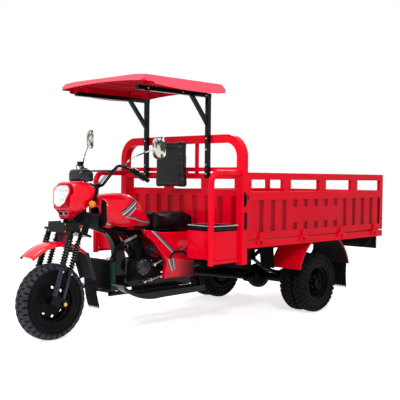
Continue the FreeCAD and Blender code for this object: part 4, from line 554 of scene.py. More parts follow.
FINISH_OF = {
    red_paint: """seat_boxes guard_rails headboard_hoop headboard_bars headlight_nacelle
        gate_rail_left gate_rail_right""",
    wall_paint: "bed_front_wall",
    tail_board_paint: "tail_board",
    gate_paint: "side_gate_left side_gate_right tailgate",
    bed_paint: "bed_floor",
    roof_paint: "canopy_roof",
    tank_paint: "fuel_tank",
    cover_paint: "side_covers",
    front_fender_paint: "front_fender",
    rear_fender_paint: "rear_fenders",
    fork_paint: "fork",
    black_paint: """front_frame engine_cradle canopy_frame front_board footboards handlebar
        hand_levers""",
    chassis_paint: """chassis_rails cross_members rear_axle leaf_springs propeller_shaft front_rim
        rear_rims_left rear_rims_right radiator fork_springs""",
    black_plastic: "meter_pod grips",
    black_vinyl: "rider_seat seat_back side_seats",
    sheet_rubber: "rear_mud_flaps front_mud_flap",
    tyre_rubber: "front_tyre rear_tyres_left rear_tyres_right",
    chrome: "mirrors",
    zinc: "foot_levers",
    clear_lens: "headlight_lens",
    amber_lens: "turn_signals",
    red_lens: "tail_lamps",
    cast_metal: "engine_block",
    steel_pipe: "exhaust",
}
for material, names in FINISH_OF.items():
    for name in names.split():
        slots = frame["nodes"][name].data.materials
        slots.clear()
        slots.append(material)
left_plain = [name for name, node in frame["nodes"].items() if not node.data.materials]
print("nodes without a finish", left_plain)

# %% [markdown]
# ## Selecting and simple solids
# Every new piece is modelled the way it is done by hand: a primitive at its place, then edit mode.
# The helpers only save typing. `pick` selects by a test on place and direction, because a click
# with the mouse isn't possible in a script. `step_face` is the most common edit: faces that look
# one way are inset and pushed out or in, step by step.

# %% Selecting and simple solids


def deselect():
    """Leaves edit mode and drops the selection: an operator acts on all that is selected."""
    if bpy.context.object and bpy.context.object.mode != "OBJECT":
        bpy.ops.object.mode_set(mode="OBJECT")
    bpy.ops.object.select_all(action="DESELECT")


def settle(name):
    """Names the new object and moves its place into its mesh."""
    part = bpy.context.object
    part.name = name
    bpy.ops.object.transform_apply(location=True, rotation=True, scale=True)
    return part


def block(name, low, high):
    """A cuboid between two corners."""
    deselect()
    size = [abs(b - a) for a, b in zip(low, high)]
    middle = [(a + b) / 2 for a, b in zip(low, high)]
    bpy.ops.mesh.primitive_cube_add(size=1, location=middle)
    bpy.context.object.scale = size
    return settle(name)


def rod(name, start, end, radius, sides=20):
    """A round bar between two points."""
    deselect()
    start, end = Vector(start), Vector(end)
    turn = (end - start).to_track_quat("Z", "Y").to_euler()
    length = (end - start).length
    bpy.ops.mesh.primitive_cylinder_add(
        vertices=sides, radius=radius, depth=length, location=(start + end) / 2, rotation=turn
    )
    return settle(name)


def focus(part):
    deselect()
    part.select_set(True)
    bpy.context.view_layer.objects.active = part


def pick(part, kind, wanted):
    """Edit mode, with the faces, edges or vertices selected whose middle and direction pass a test."""
    if bpy.context.object is not part or part.mode != "EDIT":
        focus(part)
        bpy.ops.object.mode_set(mode="EDIT")
    bpy.ops.mesh.select_mode(type=kind)
    bpy.ops.mesh.select_all(action="DESELECT")
    mesh = bmesh.from_edit_mesh(part.data)
    if kind == "FACE":
        for face in mesh.faces:
            face.select_set(bool(wanted(face.calc_center_median(), face.normal)))
    elif kind == "EDGE":
        for edge in mesh.edges:
            one, two = (vertex.co for vertex in edge.verts)
            edge.select_set(bool(wanted((one + two) / 2, (two - one).normalized())))
    else:
        for vertex in mesh.verts:
            vertex.select_set(bool(wanted(vertex.co, vertex.normal)))
    mesh.select_flush_mode()
    bmesh.update_edit_mesh(part.data)


def everything(*ignored):
    return True


def push(*way):
    """Extrudes the selected faces or edges by a distance."""
    bpy.ops.mesh.extrude_region_move(TRANSFORM_OT_translate={"value": way})


def step_face(part, way, *steps):
    """Insets the faces that look one way and pushes them out, once for each step."""
    way = Vector(way)
    pick(part, "FACE", lambda middle, normal: normal.dot(way) > 0.9)
    for inward, out in steps:
        bpy.ops.mesh.inset(thickness=inward)
        push(*(way * out))
    deselect()
    return part


def apply_modifier(part, kind, **settings):
    """Adds a modifier and applies it at once."""
    focus(part)
    modifier = part.modifiers.new(kind.title(), kind)
    for key, value in settings.items():
        setattr(modifier, key, value)
    bpy.ops.object.modifier_apply(modifier=modifier.name)
    return part


def bevel(part, width, segments=2, angle=40):
    return apply_modifier(
        part, "BEVEL", width=width, segments=segments, limit_method="ANGLE", angle_limit=math.radians(angle)
    )


def subdivided(part, levels=1):
    return apply_modifier(part, "SUBSURF", levels=levels, render_levels=levels)


print("selecting and simple solids ready")

# %% [markdown]
# ## Copies, mirror images and the hand-over
# One modelled part is often copied to several places, mirrored and joined. `done` ends each piece:
# it turns the faces outward, shades them, gives the finish, and hangs the piece on the body that it
# moves with.

# %% Copies and hand-over


def moved(part, matrix):
    part.data.transform(matrix)
    return part


def copy_of(part, matrix):
    """A copy with its own mesh, moved by a matrix."""
    other = part.copy()
    other.data = part.data.copy()
    bpy.context.scene.collection.objects.link(other)
    return moved(other, matrix)


def join(name, parts):
    """Several objects as one mesh."""
    deselect()
    for part in parts:
        part.select_set(True)
    bpy.context.view_layer.objects.active = parts[0]
    bpy.ops.object.join()
    parts[0].name = name
    return parts[0]


def spread(name, part, matrices):
    """One modelled part copied to several places and joined."""
    made = [copy_of(part, matrix) for matrix in matrices]
    bpy.data.objects.remove(part)
    return join(name, made)


MIRROR = Matrix.Diagonal((1, -1, 1, 1))


def both_sides(name, part):
    """The part and its mirror image on the other side of the vehicle."""
    return join(name, [part, copy_of(part, MIRROR)])


def done(part, material, body, replaces=(), smooth=35):
    """Faces outward, shading, finish and the body that the piece moves with."""
    pick(part, "FACE", everything)
    bpy.ops.mesh.remove_doubles(threshold=0.00002)
    bpy.ops.mesh.normals_make_consistent(inside=False)
    focus(part)
    bpy.ops.object.shade_smooth_by_angle(angle=math.radians(smooth))
    part.data.materials.clear()
    part.data.materials.append(material)
    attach(part, body)
    if replaces:
        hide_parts(*replaces)
    return part


def turn_about(point, axis, angle):
    """A turn about an axis through a point, as a matrix."""
    point = Vector(point)
    return Matrix.Translation(point) @ Matrix.Rotation(angle, 4, axis) @ Matrix.Translation(-point)


def stand(place, way):
    """The matrix that sets a part modelled upright at the origin on a place, facing a way."""
    return Matrix.Translation(place) @ Vector(way).to_track_quat("Z", "Y").to_matrix().to_4x4()


print("copies and hand-over ready")

# %% [markdown]
# ## Lofts, rings and pipes
# Moulded pieces are lofts: a flat face with round corners is extruded from station to station, and
# resized at each. Bent rods, hoses and cables are smooth curves with a round section.

# %% Lofts, rings and pipes
QUARTER = math.pi / 2
TURN_TO = {"X": (QUARTER, 0, QUARTER), "Y": (QUARTER, 0, 0), "Z": (0, 0, 0)}


def rounded_face(name, axis, middle, width, height, corner, segments=4):
    """A flat face with round corners: width and height are its two sizes across the axis."""
    deselect()
    bpy.ops.mesh.primitive_plane_add(size=1, location=middle, rotation=TURN_TO[axis])
    bpy.context.object.scale = (width, height, 1)
    part = settle(name)
    pick(part, "FACE", everything)
    bpy.ops.mesh.bevel(offset=corner, offset_pct=0, segments=segments, affect="VERTICES")
    pick(part, "FACE", everything)
    return part


def loft(name, axis, stations, corner, segments=4):
    """A closed body through round-cornered faces; each station has its middle, width and height."""
    middle, width, height = stations[0]
    part = rounded_face(name, axis, middle, width, height, corner, segments)
    for (old, old_width, old_height), (new, new_width, new_height) in zip(stations, stations[1:]):
        push(*(Vector(new) - Vector(old)))
        wide, tall = new_width / old_width, new_height / old_height
        scale = {"X": (1, wide, tall), "Y": (wide, 1, tall), "Z": (wide, tall, 1)}[axis]
        bpy.ops.transform.resize(value=scale, center_override=new)
    deselect()
    return part


def straight_loft(name, axis, middle, rows, corner, segments=4):
    """A loft on a straight axis; each row is the place along it, the width and the height."""
    stations = []
    for along, width, height in rows:
        place = list(middle)
        place["XYZ".index(axis)] = along
        stations.append((place, width, height))
    return loft(name, axis, stations, corner, segments)


def middle_loft(name, rows, corner, segments=4):
    """A loft along the vehicle's middle plane; each row is x, z, the width and the height."""
    return loft(name, "X", [((x, 0, z), width, height) for x, z, width, height in rows], corner, segments)


def ring_plate(name, axis, middle, width, height, corner, border, depth):
    """A flat frame round an opening, with a thickness."""
    part = rounded_face(name, axis, middle, width, height, corner)
    bpy.ops.mesh.inset(thickness=border)
    bpy.ops.mesh.delete(type="FACE")
    bpy.ops.mesh.select_all(action="SELECT")
    push(*depth)
    deselect()
    return part


def pipe(name, points, radius, round_steps=3):
    """A bent rod or cable: a smooth path through its route, with a round section."""
    deselect()
    bpy.ops.curve.primitive_nurbs_path_add()
    path = bpy.context.object
    path.data.splines.clear()
    spline = path.data.splines.new("NURBS")
    spline.points.add(len(points) - 1)
    for spot, point in zip(spline.points, points):
        spot.co = (*point, 1)
    spline.order_u = 3
    spline.use_endpoint_u = True
    path.data.bevel_depth = radius
    path.data.bevel_resolution = round_steps
    path.data.use_fill_caps = True
    bpy.ops.object.convert(target="MESH")
    return settle(name)


ORIGIN = (0, 0, 0)
print("lofts, rings and pipes ready")

# %% [markdown]
# ## Nuts and bolts
# One nut is modelled from a six-sided bar and copied to its places. A place comes with the way that
# the nut faces, so the same helper serves a row, both sides of the vehicle, or a circle of screws.

# %% Nuts and bolts
LEFTWARD, UPWARD = (0, 1, 0), (0, 0, 1)


def nut(radius, height):
    """A hexagon nut with its stud's end, standing on the origin."""
    part = rod("nut", ORIGIN, (0, 0, height), radius, 6)
    return bevel(step_face(part, UPWARD, (radius * 0.4, height * 0.5)), radius * 0.1, 1, 50)


def nuts(name, radius, height, places, material, body):
    """The same nut at several places, each with the way it faces."""
    part = spread(name, nut(radius, height), [stand(place, way) for place, way in places])
    return done(part, material, body)


def sided(places):
    """Places on the left with the way they face, and their mirror images on the right."""
    right = [((x, -y, z), (wx, -wy, wz)) for (x, y, z), (wx, wy, wz) in places]
    return list(places) + right


def circle_of(centre, radius, count, y, way, start=0.0):
    """Places round an axle, all facing the same way."""
    places = []
    for number in range(count):
        angle = start + math.tau * number / count
        place = Vector((centre.x + radius * math.cos(angle), y, centre.z + radius * math.sin(angle)))
        places.append((place, (0, way, 0)))
    return places


print("nuts and bolts ready")

# %% [markdown]
# ## Tyres
# A tyre is one cross-section turned about the axle. The section starts as a circle, is widened
# into a flat-topped shape by moving its points, and is spun. The tread is a ring of separate rubber
# blocks: one block is modelled, then copied round the wheel in four staggered rows, two on the crown
# and two wrapped over the shoulders.

# %% Tyre functions
SECTION_POINTS, SPIN_STEPS, RIM_DIAMETER = 24, 72, 0.305
RING_PLACES, RING_THICK = ((0.66, 0.44), (0.80, 0.482)), 0.0035


def carcass(name, centre, radius, width, rim_radius):
    """The tyre without its tread: a squared circle spun about the axle."""
    middle = (radius + rim_radius) / 2
    half_tall, half_wide = (radius - rim_radius) / 2, width / 2
    deselect()
    bpy.ops.mesh.primitive_circle_add(
        vertices=SECTION_POINTS, radius=1, location=centre, rotation=(0, QUARTER, 0)
    )
    part = settle(name)
    pick(part, "VERT", everything)
    mesh = bmesh.from_edit_mesh(part.data)
    for vertex in mesh.verts:
        up, side = vertex.co.z - centre.z, vertex.co.y - centre.y
        fuller = max(abs(up), abs(side)) ** 0.35
        vertex.co = centre + Vector((0, side * half_wide / fuller, middle + up * half_tall / fuller))
    bmesh.update_edit_mesh(part.data)
    bpy.ops.mesh.spin(steps=SPIN_STEPS, angle=math.tau, center=centre, axis=(0, 1, 0))
    bpy.ops.mesh.select_all(action="SELECT")
    bpy.ops.mesh.remove_doubles(threshold=0.0002)
    deselect()
    return part


def tread_block(size):
    """One rubber block at the origin, its top narrower than its foot."""
    part = block("tread_block", (-size[0] / 2, -size[1] / 2, -size[2]), (size[0] / 2, size[1] / 2, 0))
    pick(part, "FACE", lambda middle, normal: normal.z > 0.9)
    bpy.ops.transform.resize(value=(0.88, 0.86, 1))
    bpy.ops.mesh.bevel(offset=size[2] * 0.16, segments=1)
    pick(part, "FACE", lambda middle, normal: normal.z < -0.9)
    bpy.ops.mesh.delete(type="ONLY_FACE")
    deselect()
    return part


def tread(name, centre, radius, width, blocks, depth, lean):
    """Four staggered rows of blocks round the wheel."""
    pitch = math.tau * radius / blocks
    crown = tread_block((pitch * 0.78, width * 0.29, depth * 1.7))
    shoulder = tread_block((pitch * 0.72, width * 0.34, depth * 2.0))
    parts = []
    for number in range(blocks):
        for side in (-1, 1):
            angle = math.tau * (number + 0.25 * side) / blocks
            spin = turn_about(centre, "Y", angle)
            on_top = Matrix.Translation(centre + Vector((0, side * width * 0.165, radius - 0.004)))
            parts.append(copy_of(crown, spin @ on_top @ Matrix.Rotation(-0.12 * side, 4, "X")))
            spin = turn_about(centre, "Y", angle + math.pi / blocks)
            on_side = Matrix.Translation(centre + Vector((0, side * width * 0.40, radius - width * 0.135)))
            parts.append(copy_of(shoulder, spin @ on_side @ Matrix.Rotation(-lean * side, 4, "X")))
    bpy.data.objects.remove(crown)
    bpy.data.objects.remove(shoulder)
    return join(name, parts)


def sidewall_rings(name, centre, radius, width):
    """Two thin raised rings moulded on each side."""
    rings = []
    for side in (-1, 1):
        for share, out in RING_PLACES:
            deselect()
            bpy.ops.mesh.primitive_torus_add(
                major_radius=radius * share,
                minor_radius=RING_THICK,
                major_segments=64,
                minor_segments=6,
                location=centre + Vector((0, side * width * out, 0)),
                rotation=(QUARTER, 0, 0),
            )
            rings.append(settle("sidewall_ring"))
    return join(name, rings)


def tyre(centre, radius, width, blocks, depth, lean):
    """The carcass with its rings, and the tread as a piece of its own."""
    rim_radius = RIM_DIAMETER / 2 - 0.004
    body = carcass("carcass", centre, radius - depth - 0.004, width - 0.014, rim_radius)
    body = join("tyre", [body, sidewall_rings("rings", centre, radius, width)])
    return body, tread("tread", centre, radius, width, blocks, depth, lean)


print("tyre functions ready")

# %% [markdown]
# The front wheel has one tyre. Each rear wheel has two narrower ones side by side, which are
# joined. Carcass and tread stay apart, because the front tyre's lugs take a paler grey: a painted highlight.

# %% Tyres
FRONT_BLOCKS, REAR_BLOCKS, REAR_WIDTH = 32, 34, 0.118

low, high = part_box("front_tyre")
radius = (high.z - low.z) / 2
front, lugs = tyre(front_hub, radius, high.y - low.y, FRONT_BLOCKS, 0.011, 0.75)
done(front, tyre_rubber, "front_wheel", ["front_tyre"]).name = "front_tyre_carcass"
done(lugs, lug_finish, "front_wheel").name = "front_tyre_tread"
for side, hub in rear_hub.items():
    low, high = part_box(f"rear_tyres_{side}")
    radius = (high.z - low.z) / 2
    centres = [Vector((hub.x, y, hub.z)) for y in (low.y + REAR_WIDTH / 2, high.y - REAR_WIDTH / 2)]
    pair = [tyre(centre, radius, REAR_WIDTH, REAR_BLOCKS, 0.008, 0.6) for centre in centres]
    bodies, treads = zip(*pair)
    bodies = join(f"rear_tyre_carcasses_{side}", list(bodies))
    treads = join(f"rear_tyre_treads_{side}", list(treads))
    done(bodies, tyre_rubber, f"rear_wheel_{side}", [f"rear_tyres_{side}"])
    done(treads, tyre_rubber, f"rear_wheel_{side}")
    print(side, "faces", len(bodies.data.polygons) + len(treads.data.polygons))

# %% [markdown]
# ## Wheel nuts and hub caps
# Black nuts hold the rear wheels round a stepped hub cap. The front axle ends in a brass nut on each
# side, with a small bright nut above and ahead of it.

# %% Wheel nuts and hub caps
NUT_CIRCLE, NUT_COUNT, NUT_OUT = 0.051, 5, 0.062
CAP_RADIUS, CAP_FOOT, CAP_TOP = 0.026, 0.050, 0.094

for side, way in SIDES.items():
    hub = rear_hub[side]
    places = circle_of(hub, NUT_CIRCLE, NUT_COUNT, hub.y + way * NUT_OUT, way, 0.3)
    nuts(f"wheel_nuts_{side}", 0.0105, 0.012, places, black_paint, f"rear_wheel_{side}")
    foot, top = [(hub.x, hub.y + way * out, hub.z) for out in (CAP_FOOT, CAP_TOP)]
    cap = step_face(rod("hub_cap", foot, top, CAP_RADIUS, 32), (0, way, 0), (0.007, 0.006))
    done(bevel(cap, 0.003), chassis_paint, f"rear_wheel_{side}").name = f"hub_cap_{side}"

AXLE_END = 0.1695
axle_ends = sided([((front_hub.x, AXLE_END, front_hub.z), LEFTWARD)])
nuts("front_axle_nuts", 0.015, 0.012, axle_ends, brass, "steering")
caliper_places = sided([((front_hub.x + 0.045, 0.143, front_hub.z + 0.030), LEFTWARD)])
nuts("caliper_nuts", 0.0075, 0.007, caliper_places, zinc, "steering")
print("nuts a rear wheel", NUT_COUNT, "front axle nuts", len(axle_ends))

# %% [markdown]
# ## Coil springs
# Each fork strut carries a coil. A small circle is the wire; the Screw modifier winds it round the
# strut. The coils are wound upright at the steering axis and then leaned back with it.

# %% Coil springs
steer_lean = Vector((0, 0, 1)).rotation_difference(steer_axis).to_matrix().to_4x4()
lean_back = Matrix.Translation(steer_place) @ steer_lean
STRUT_LEAD, STRUT_HALF, STRUT_OUT = 0.086, 0.040, 0.140
SPRING_TOP, SPRING_LENGTH, WIRE = -0.050, 0.225, 0.0041
SPRING_TURNS = 11


def coil_spring(name, radius, lead):
    """One coil on each side, round the struts that stand a distance ahead of the axis."""
    deselect()
    bpy.ops.mesh.primitive_circle_add(
        vertices=8, radius=WIRE, location=(radius, 0, 0), rotation=(QUARTER, 0, 0)
    )
    coil = settle("coil")
    rise = (SPRING_LENGTH - 2 * WIRE) / SPRING_TURNS
    winding = {"screw_offset": rise, "iterations": SPRING_TURNS, "steps": 20, "render_steps": 20}
    apply_modifier(coil, "SCREW", angle=math.tau, axis="Z", **winding)
    pick(coil, "EDGE", everything)
    bpy.ops.mesh.select_non_manifold()
    bpy.ops.mesh.edge_face_add()
    deselect()
    feet = [Vector((lead, STRUT_OUT * side, SPRING_TOP - SPRING_LENGTH + WIRE)) for side in (-1, 1)]
    return spread(name, coil, [lean_back @ Matrix.Translation(foot) for foot in feet])


front_coils = coil_spring("front_coils", 0.0246, STRUT_LEAD + STRUT_HALF)
rear_coils = coil_spring("rear_coils", 0.0220, STRUT_LEAD - STRUT_HALF)
springs = join("fork_coils", [front_coils, rear_coils])
done(springs, spring_enamel, "steering", ["fork_springs"])
print("coil faces", len(springs.data.polygons))

# %% [markdown]
# ## Lamp housing
# The nacelle is a red moulding that swells from the steering head and ends in a big leaning lens
# over a chin with two small openings, each ringed by a pale painted highlight. A loft of
# round-cornered faces along the vehicle gives the swell. A cut across the front then separates lens
# from chin, so each can be inset and sunk on its own.

# %% Lamp housing
LENS_MIDDLE = Vector((1.478, 0, 1.042))
LENS_LEAN = turn_about(LENS_MIDDLE, "Y", math.radians(-15))
NACELLE_ROWS = [
    (1.262, 1.066, 0.232, 0.092),
    (1.300, 1.052, 0.258, 0.176),
    (1.360, 1.028, 0.263, 0.240),
    (1.410, 1.012, 0.256, 0.270),
    (1.446, 1.002, 0.238, 0.266),
    (1.474, 0.998, 0.206, 0.246),
]
CHIN_TOP = 0.952
OPENING_Y, OPENING_Z = 0.031, 0.914

nacelle = middle_loft("nacelle", NACELLE_ROWS, 0.045, 6)
pick(nacelle, "FACE", everything)
bpy.ops.mesh.bisect(plane_co=(0, 0, CHIN_TOP), plane_no=(0, 0, 1))
pick(nacelle, "VERT", lambda place, normal: place.z < CHIN_TOP - 0.02)
bpy.ops.transform.resize(value=(1, 0.66, 1), center_override=(1.4, 0, 0.9))
pick(nacelle, "VERT", lambda place, normal: place.x > 1.47 and place.z > 1.04)
bpy.ops.transform.translate(value=(-0.026, 0, 0))
pick(nacelle, "VERT", lambda place, normal: place.x > 1.47 and place.z < 0.94)
bpy.ops.transform.translate(value=(-0.014, 0, 0.004))
pick(nacelle, "FACE", lambda middle, normal: normal.x > 0.8 and middle.z > CHIN_TOP and middle.x > 1.44)
bpy.ops.mesh.inset(thickness=0.006)
push(-0.026, 0, 0)
pick(nacelle, "FACE", lambda middle, normal: normal.x > 0.8 and middle.z < CHIN_TOP and middle.x > 1.44)
bpy.ops.mesh.inset(thickness=0.012)
push(-0.016, 0, 0)
deselect()
bevel(nacelle, 0.0035, 2, 24)
done(nacelle, moulded_red, "steering", ["headlight_nacelle"])
nacelle.name = "lamp_housing"

opening = straight_loft(
    "opening", "X", (0, OPENING_Y, OPENING_Z), [(1.441, 0.046, 0.026), (1.456, 0.046, 0.026)], 0.009
)
done(both_sides("chin_intakes", opening), black_plastic, "steering")
# Painted highlight: the pale pink rings stand in for light on the openings' edges.
painted_highlight_trim = gloss_paint("painted_highlight_trim", colour(226, 176, 190), colour(244, 206, 214), 0.3, 0.3).material
outline_middle = (1.453, OPENING_Y, OPENING_Z)
outline = ring_plate("outline", "X", outline_middle, 0.054, 0.034, 0.012, 0.0035, (0.006, 0, 0))
done(both_sides("chin_highlight_outlines", bevel(outline, 0.001, 1)), painted_highlight_trim, "steering")
print("lamp housing faces", len(nacelle.data.polygons))

# %% [markdown]
# ## Headlight
# Behind a clear crowned cover sits a bright faceted reflector with a bulb cap. It is white plastic in
# place of chrome, so its white is a painted reflection. The cover is a shallow dome, and its alpha
# lets the reflector show. The reflector is a dish made by extruding one face inward in three steps,
# and its facets stay flat so that each one catches another light.

# %% Headlight


def lens_outline(name, x, grow):
    """The rounded shield outline of the headlight: its lower half is narrower."""
    part = rounded_face(name, "X", (x, 0, LENS_MIDDLE.z), 0.192 + grow, 0.164 + grow, 0.058, 6)
    pick(part, "VERT", lambda place, normal: place.z < LENS_MIDDLE.z)
    bpy.ops.transform.resize(value=(1, 0.78, 1), center_override=LENS_MIDDLE)
    pick(part, "VERT", lambda place, normal: place.z < LENS_MIDDLE.z - 0.060)
    bpy.ops.transform.resize(value=(1, 0.74, 1), center_override=LENS_MIDDLE)
    pick(part, "FACE", everything)
    return part


def draw_out(*steps):
    """Extrudes the selected face along X, and narrows it after each step."""
    for out, shrink in steps:
        push(out, 0, 0)
        bpy.ops.transform.resize(value=(1, shrink, shrink), center_override=LENS_MIDDLE)


# White plastic stands in for chrome: a painted reflection.
painted_reflection_white = grained_plastic("reflector_painted_reflection", colour(226, 230, 236), colour(252, 253, 255), 0.08, 90.0)
dish = lens_outline("reflector", 1.486, -0.012)
draw_out((-0.004, 0.93), (-0.010, 0.80), (-0.012, 0.62))
bpy.ops.mesh.inset(thickness=0.010)
push(0.014, 0, 0)
pick(dish, "FACE", lambda middle, normal: middle.x > 1.4859)
bpy.ops.mesh.delete(type="FACE")
deselect()
dish = apply_modifier(dish, "SOLIDIFY", thickness=0.002, offset=-1)
done(moved(dish, LENS_LEAN), painted_reflection_white, "steering", smooth=12)

cover = lens_outline("headlight_cover", 1.488, 0)
draw_out((0.0035, 0.94), (0.0028, 0.82), (0.0016, 0.6))
deselect()
done(moved(cover, LENS_LEAN), clear_lens, "steering", ["headlight_lens"], 50)

bezel = lens_outline("headlight_bezel", 1.478, 0.006)
bpy.ops.mesh.inset(thickness=0.004)
bpy.ops.mesh.delete(type="FACE")
bpy.ops.mesh.select_all(action="SELECT")
push(0.012, 0, 0)
deselect()
bevel(bezel, 0.0015, 2)
done(moved(bezel, LENS_LEAN), moulded_red, "steering")
print("headlight faces", len(dish.data.polygons) + len(cover.data.polygons))

# %% [markdown]
# ## Turn signals
# Each signal is an amber ball on a short black stalk, held in a cup with a rim. The ball is a
# sphere whose inner half is drawn in to a neck; the cup is a short cylinder with its face sunk.

# %% Turn signals
SIGNAL = Vector((1.320, 0.160, 0.984))
BALL_RADIUS, CUP_RADIUS, STALK_RADIUS = 0.0265, 0.0215, 0.0095
deselect()
bpy.ops.mesh.primitive_uv_sphere_add(
    segments=28, ring_count=14, radius=BALL_RADIUS, location=SIGNAL, rotation=(QUARTER, 0, 0)
)
ball = settle("signal_lens")
pick(ball, "VERT", lambda place, normal: place.y < SIGNAL.y - 0.008)
bpy.ops.transform.resize(value=(0.82, 0.6, 0.82), center_override=SIGNAL - Vector((0, 0.008, 0)))
deselect()
ball = both_sides("signal_lenses", ball)
done(ball, amber_lens, "steering", ["turn_signals"])
cup = rod("signal_cup", SIGNAL - Vector((0, 0.026, 0)), SIGNAL - Vector((0, 0.004, 0)), CUP_RADIUS, 28)
pick(cup, "FACE", lambda middle, normal: normal.y > 0.9)
bpy.ops.transform.resize(value=(1.22, 1, 1.22), center_override=SIGNAL)
bpy.ops.mesh.inset(thickness=0.003)
push(0, -0.004, 0)
pick(cup, "FACE", lambda middle, normal: normal.y < -0.9)
bpy.ops.transform.resize(value=(0.6, 1, 0.6), center_override=SIGNAL)
deselect()
stalk = rod("signal_stalk", (SIGNAL.x, 0.112, SIGNAL.z), SIGNAL - Vector((0, 0.022, 0)), STALK_RADIUS, 16)
cup = join("signal_cup", [bevel(cup, 0.0012, 2), bevel(stalk, 0.001, 1)])
done(both_sides("signal_cups", cup), black_plastic, "steering")
print("turn signals at", tuple(round(value, 3) for value in SIGNAL))

# %% [markdown]
# ## Instrument pod
# Above the lamp housing sits a black pod with the speedometer facing the rider. The pod is a loft
# upwards with a domed top. The gauge has a plain dial with tick marks and a red needle: generic
# marks only.

# %% Instrument pod
pod = loft(
    "instrument_pod",
    "Z",
    [
        ((1.300, 0, 1.149), 0.116, 0.140),
        ((1.300, 0, 1.158), 0.130, 0.154),
        ((1.300, 0, 1.205), 0.130, 0.155),
        ((1.302, 0, 1.227), 0.118, 0.140),
        ((1.304, 0, 1.237), 0.094, 0.116),
        ((1.305, 0, 1.240), 0.060, 0.080),
    ],
    0.020,
    5,
)
done(pod, pod_black, "steering", ["meter_pod"], 50)
print("pod faces", len(pod.data.polygons))

# %% [markdown]
# The gauge is modelled flat at the origin and then stood on the pod's rear slope: a chrome ring, a
# pale dial, eleven ticks copied round it, and a needle that narrows to its point.

# %% Gauge
DIAL = Vector((1.2395, 0, 1.196))
DIAL_WAY = Vector((-1, 0, 0.28)).normalized()
to_dial = stand(DIAL, DIAL_WAY)
ring = rod("dial_ring", (0, 0, -0.006), (0, 0, 0.004), 0.036, 40)
step_face(ring, UPWARD, (0.004, -0.004))
done(moved(bevel(ring, 0.001, 2), to_dial), chrome, "steering")
dial_white = grained_plastic("dial_white", colour(225, 228, 230), colour(240, 241, 242), 0.4, 300.0)
dial = rod("dial_face", (0, 0, -0.001), (0, 0, 0.0012), 0.032, 40)
done(moved(bevel(dial, 0.0004, 1), to_dial), dial_white, "steering")
tick = block("tick", (-0.0007, 0.025, 0.0012), (0.0007, 0.030, 0.0018))
tick_turns = [Matrix.Rotation(math.radians(angle), 4, "Z") for angle in range(-120, 121, 24)]
ticks = spread("dial_ticks", tick, tick_turns)
needle = block("needle", (-0.0009, -0.006, 0.0022), (0.0009, 0.024, 0.0030))
pick(needle, "VERT", lambda place, normal: place.y > 0)
bpy.ops.transform.resize(value=(0.3, 1, 1), center_override=ORIGIN)
deselect()
needle = moved(needle, Matrix.Rotation(math.radians(110), 4, "Z"))
done(moved(ticks, to_dial), black_plastic, "steering")
done(moved(needle, to_dial), red_paint, "steering")
print("dial ticks", len(tick_turns))

# %% [markdown]
# ## Grips
# The grips are ribbed rubber sleeves on the handlebar's ends, each with a flange at its inner end
# and a knob at its outer end. A grip is modelled upright and then laid along the bar.

# %% Grips
GRIP_START, GRIP_END = Vector((1.025, 0.320, 1.215)), Vector((0.988, 0.400, 1.158))
GRIP_RADIUS, RIB_COUNT = 0.0165, 13
grip_way = (GRIP_END - GRIP_START).normalized()
grip_length = (GRIP_END - GRIP_START).length

sleeve = rod("grip", ORIGIN, (0, 0, grip_length), GRIP_RADIUS - 0.002, 24)
rib = rod("grip_rib", ORIGIN, (0, 0, 0.0045), GRIP_RADIUS, 24)
bevel(rib, 0.0012, 1)
pitch = (grip_length - 0.012) / RIB_COUNT
rib_places = [Matrix.Translation((0, 0, 0.006 + pitch * number)) for number in range(RIB_COUNT)]
ribs = spread("ribs", rib, rib_places)
flange = rod("grip_flange", (0, 0, -0.002), (0, 0, 0.004), GRIP_RADIUS + 0.004, 28)
knob = rod("grip_end", (0, 0, grip_length - 0.004), (0, 0, grip_length + 0.005), GRIP_RADIUS - 0.001, 24)
grip = join("grip", [bevel(sleeve, 0.001, 1), ribs, bevel(flange, 0.001, 1), bevel(knob, 0.003, 2)])
moved(grip, stand(GRIP_START, grip_way))
done(both_sides("ribbed_grips", grip), tyre_rubber, "steering", ["grips"])
print("grip ribs", RIB_COUNT)

# %% [markdown]
# ## Switch boxes, reservoir and cables
# Inboard of each grip sits a switch box with three buttons, and on the right a small brake-fluid
# reservoir. The control cables loop from the levers down to the lamp housing: they are held at both
# ends, so they are short bent pipes.

# %% Switch boxes, reservoir and cables
switch = straight_loft(
    "switch_box",
    "Z",
    ORIGIN,
    [(-0.044, 0.034, 0.036), (-0.040, 0.040, 0.042), (-0.008, 0.040, 0.042), (-0.004, 0.034, 0.036)],
    0.010,
)
pick(switch, "FACE", lambda middle, normal: abs(normal.z) < 0.2)
bpy.ops.mesh.bisect(plane_co=(0, 0, -0.024), plane_no=(0, 0, 1))
deselect()
button = straight_loft("button", "X", ORIGIN, [(-0.019, 0.009, 0.007), (-0.0235, 0.008, 0.006)], 0.002, 2)
buttons = spread("buttons", button, [Matrix.Translation((0, 0, z)) for z in (-0.034, -0.024, -0.014)])
switch = moved(join("switch_box", [bevel(switch, 0.0015, 2), buttons]), stand(GRIP_START, grip_way))
done(both_sides("switch_boxes", switch), black_plastic, "steering")

reservoir = straight_loft(
    "fluid_reservoir",
    "Z",
    (1.118, -0.250, 0),
    [(1.266, 0.030, 0.046), (1.292, 0.034, 0.050), (1.296, 0.040, 0.056), (1.303, 0.038, 0.054)],
    0.008,
)
done(bevel(reservoir, 0.0015, 2), black_plastic, "steering")

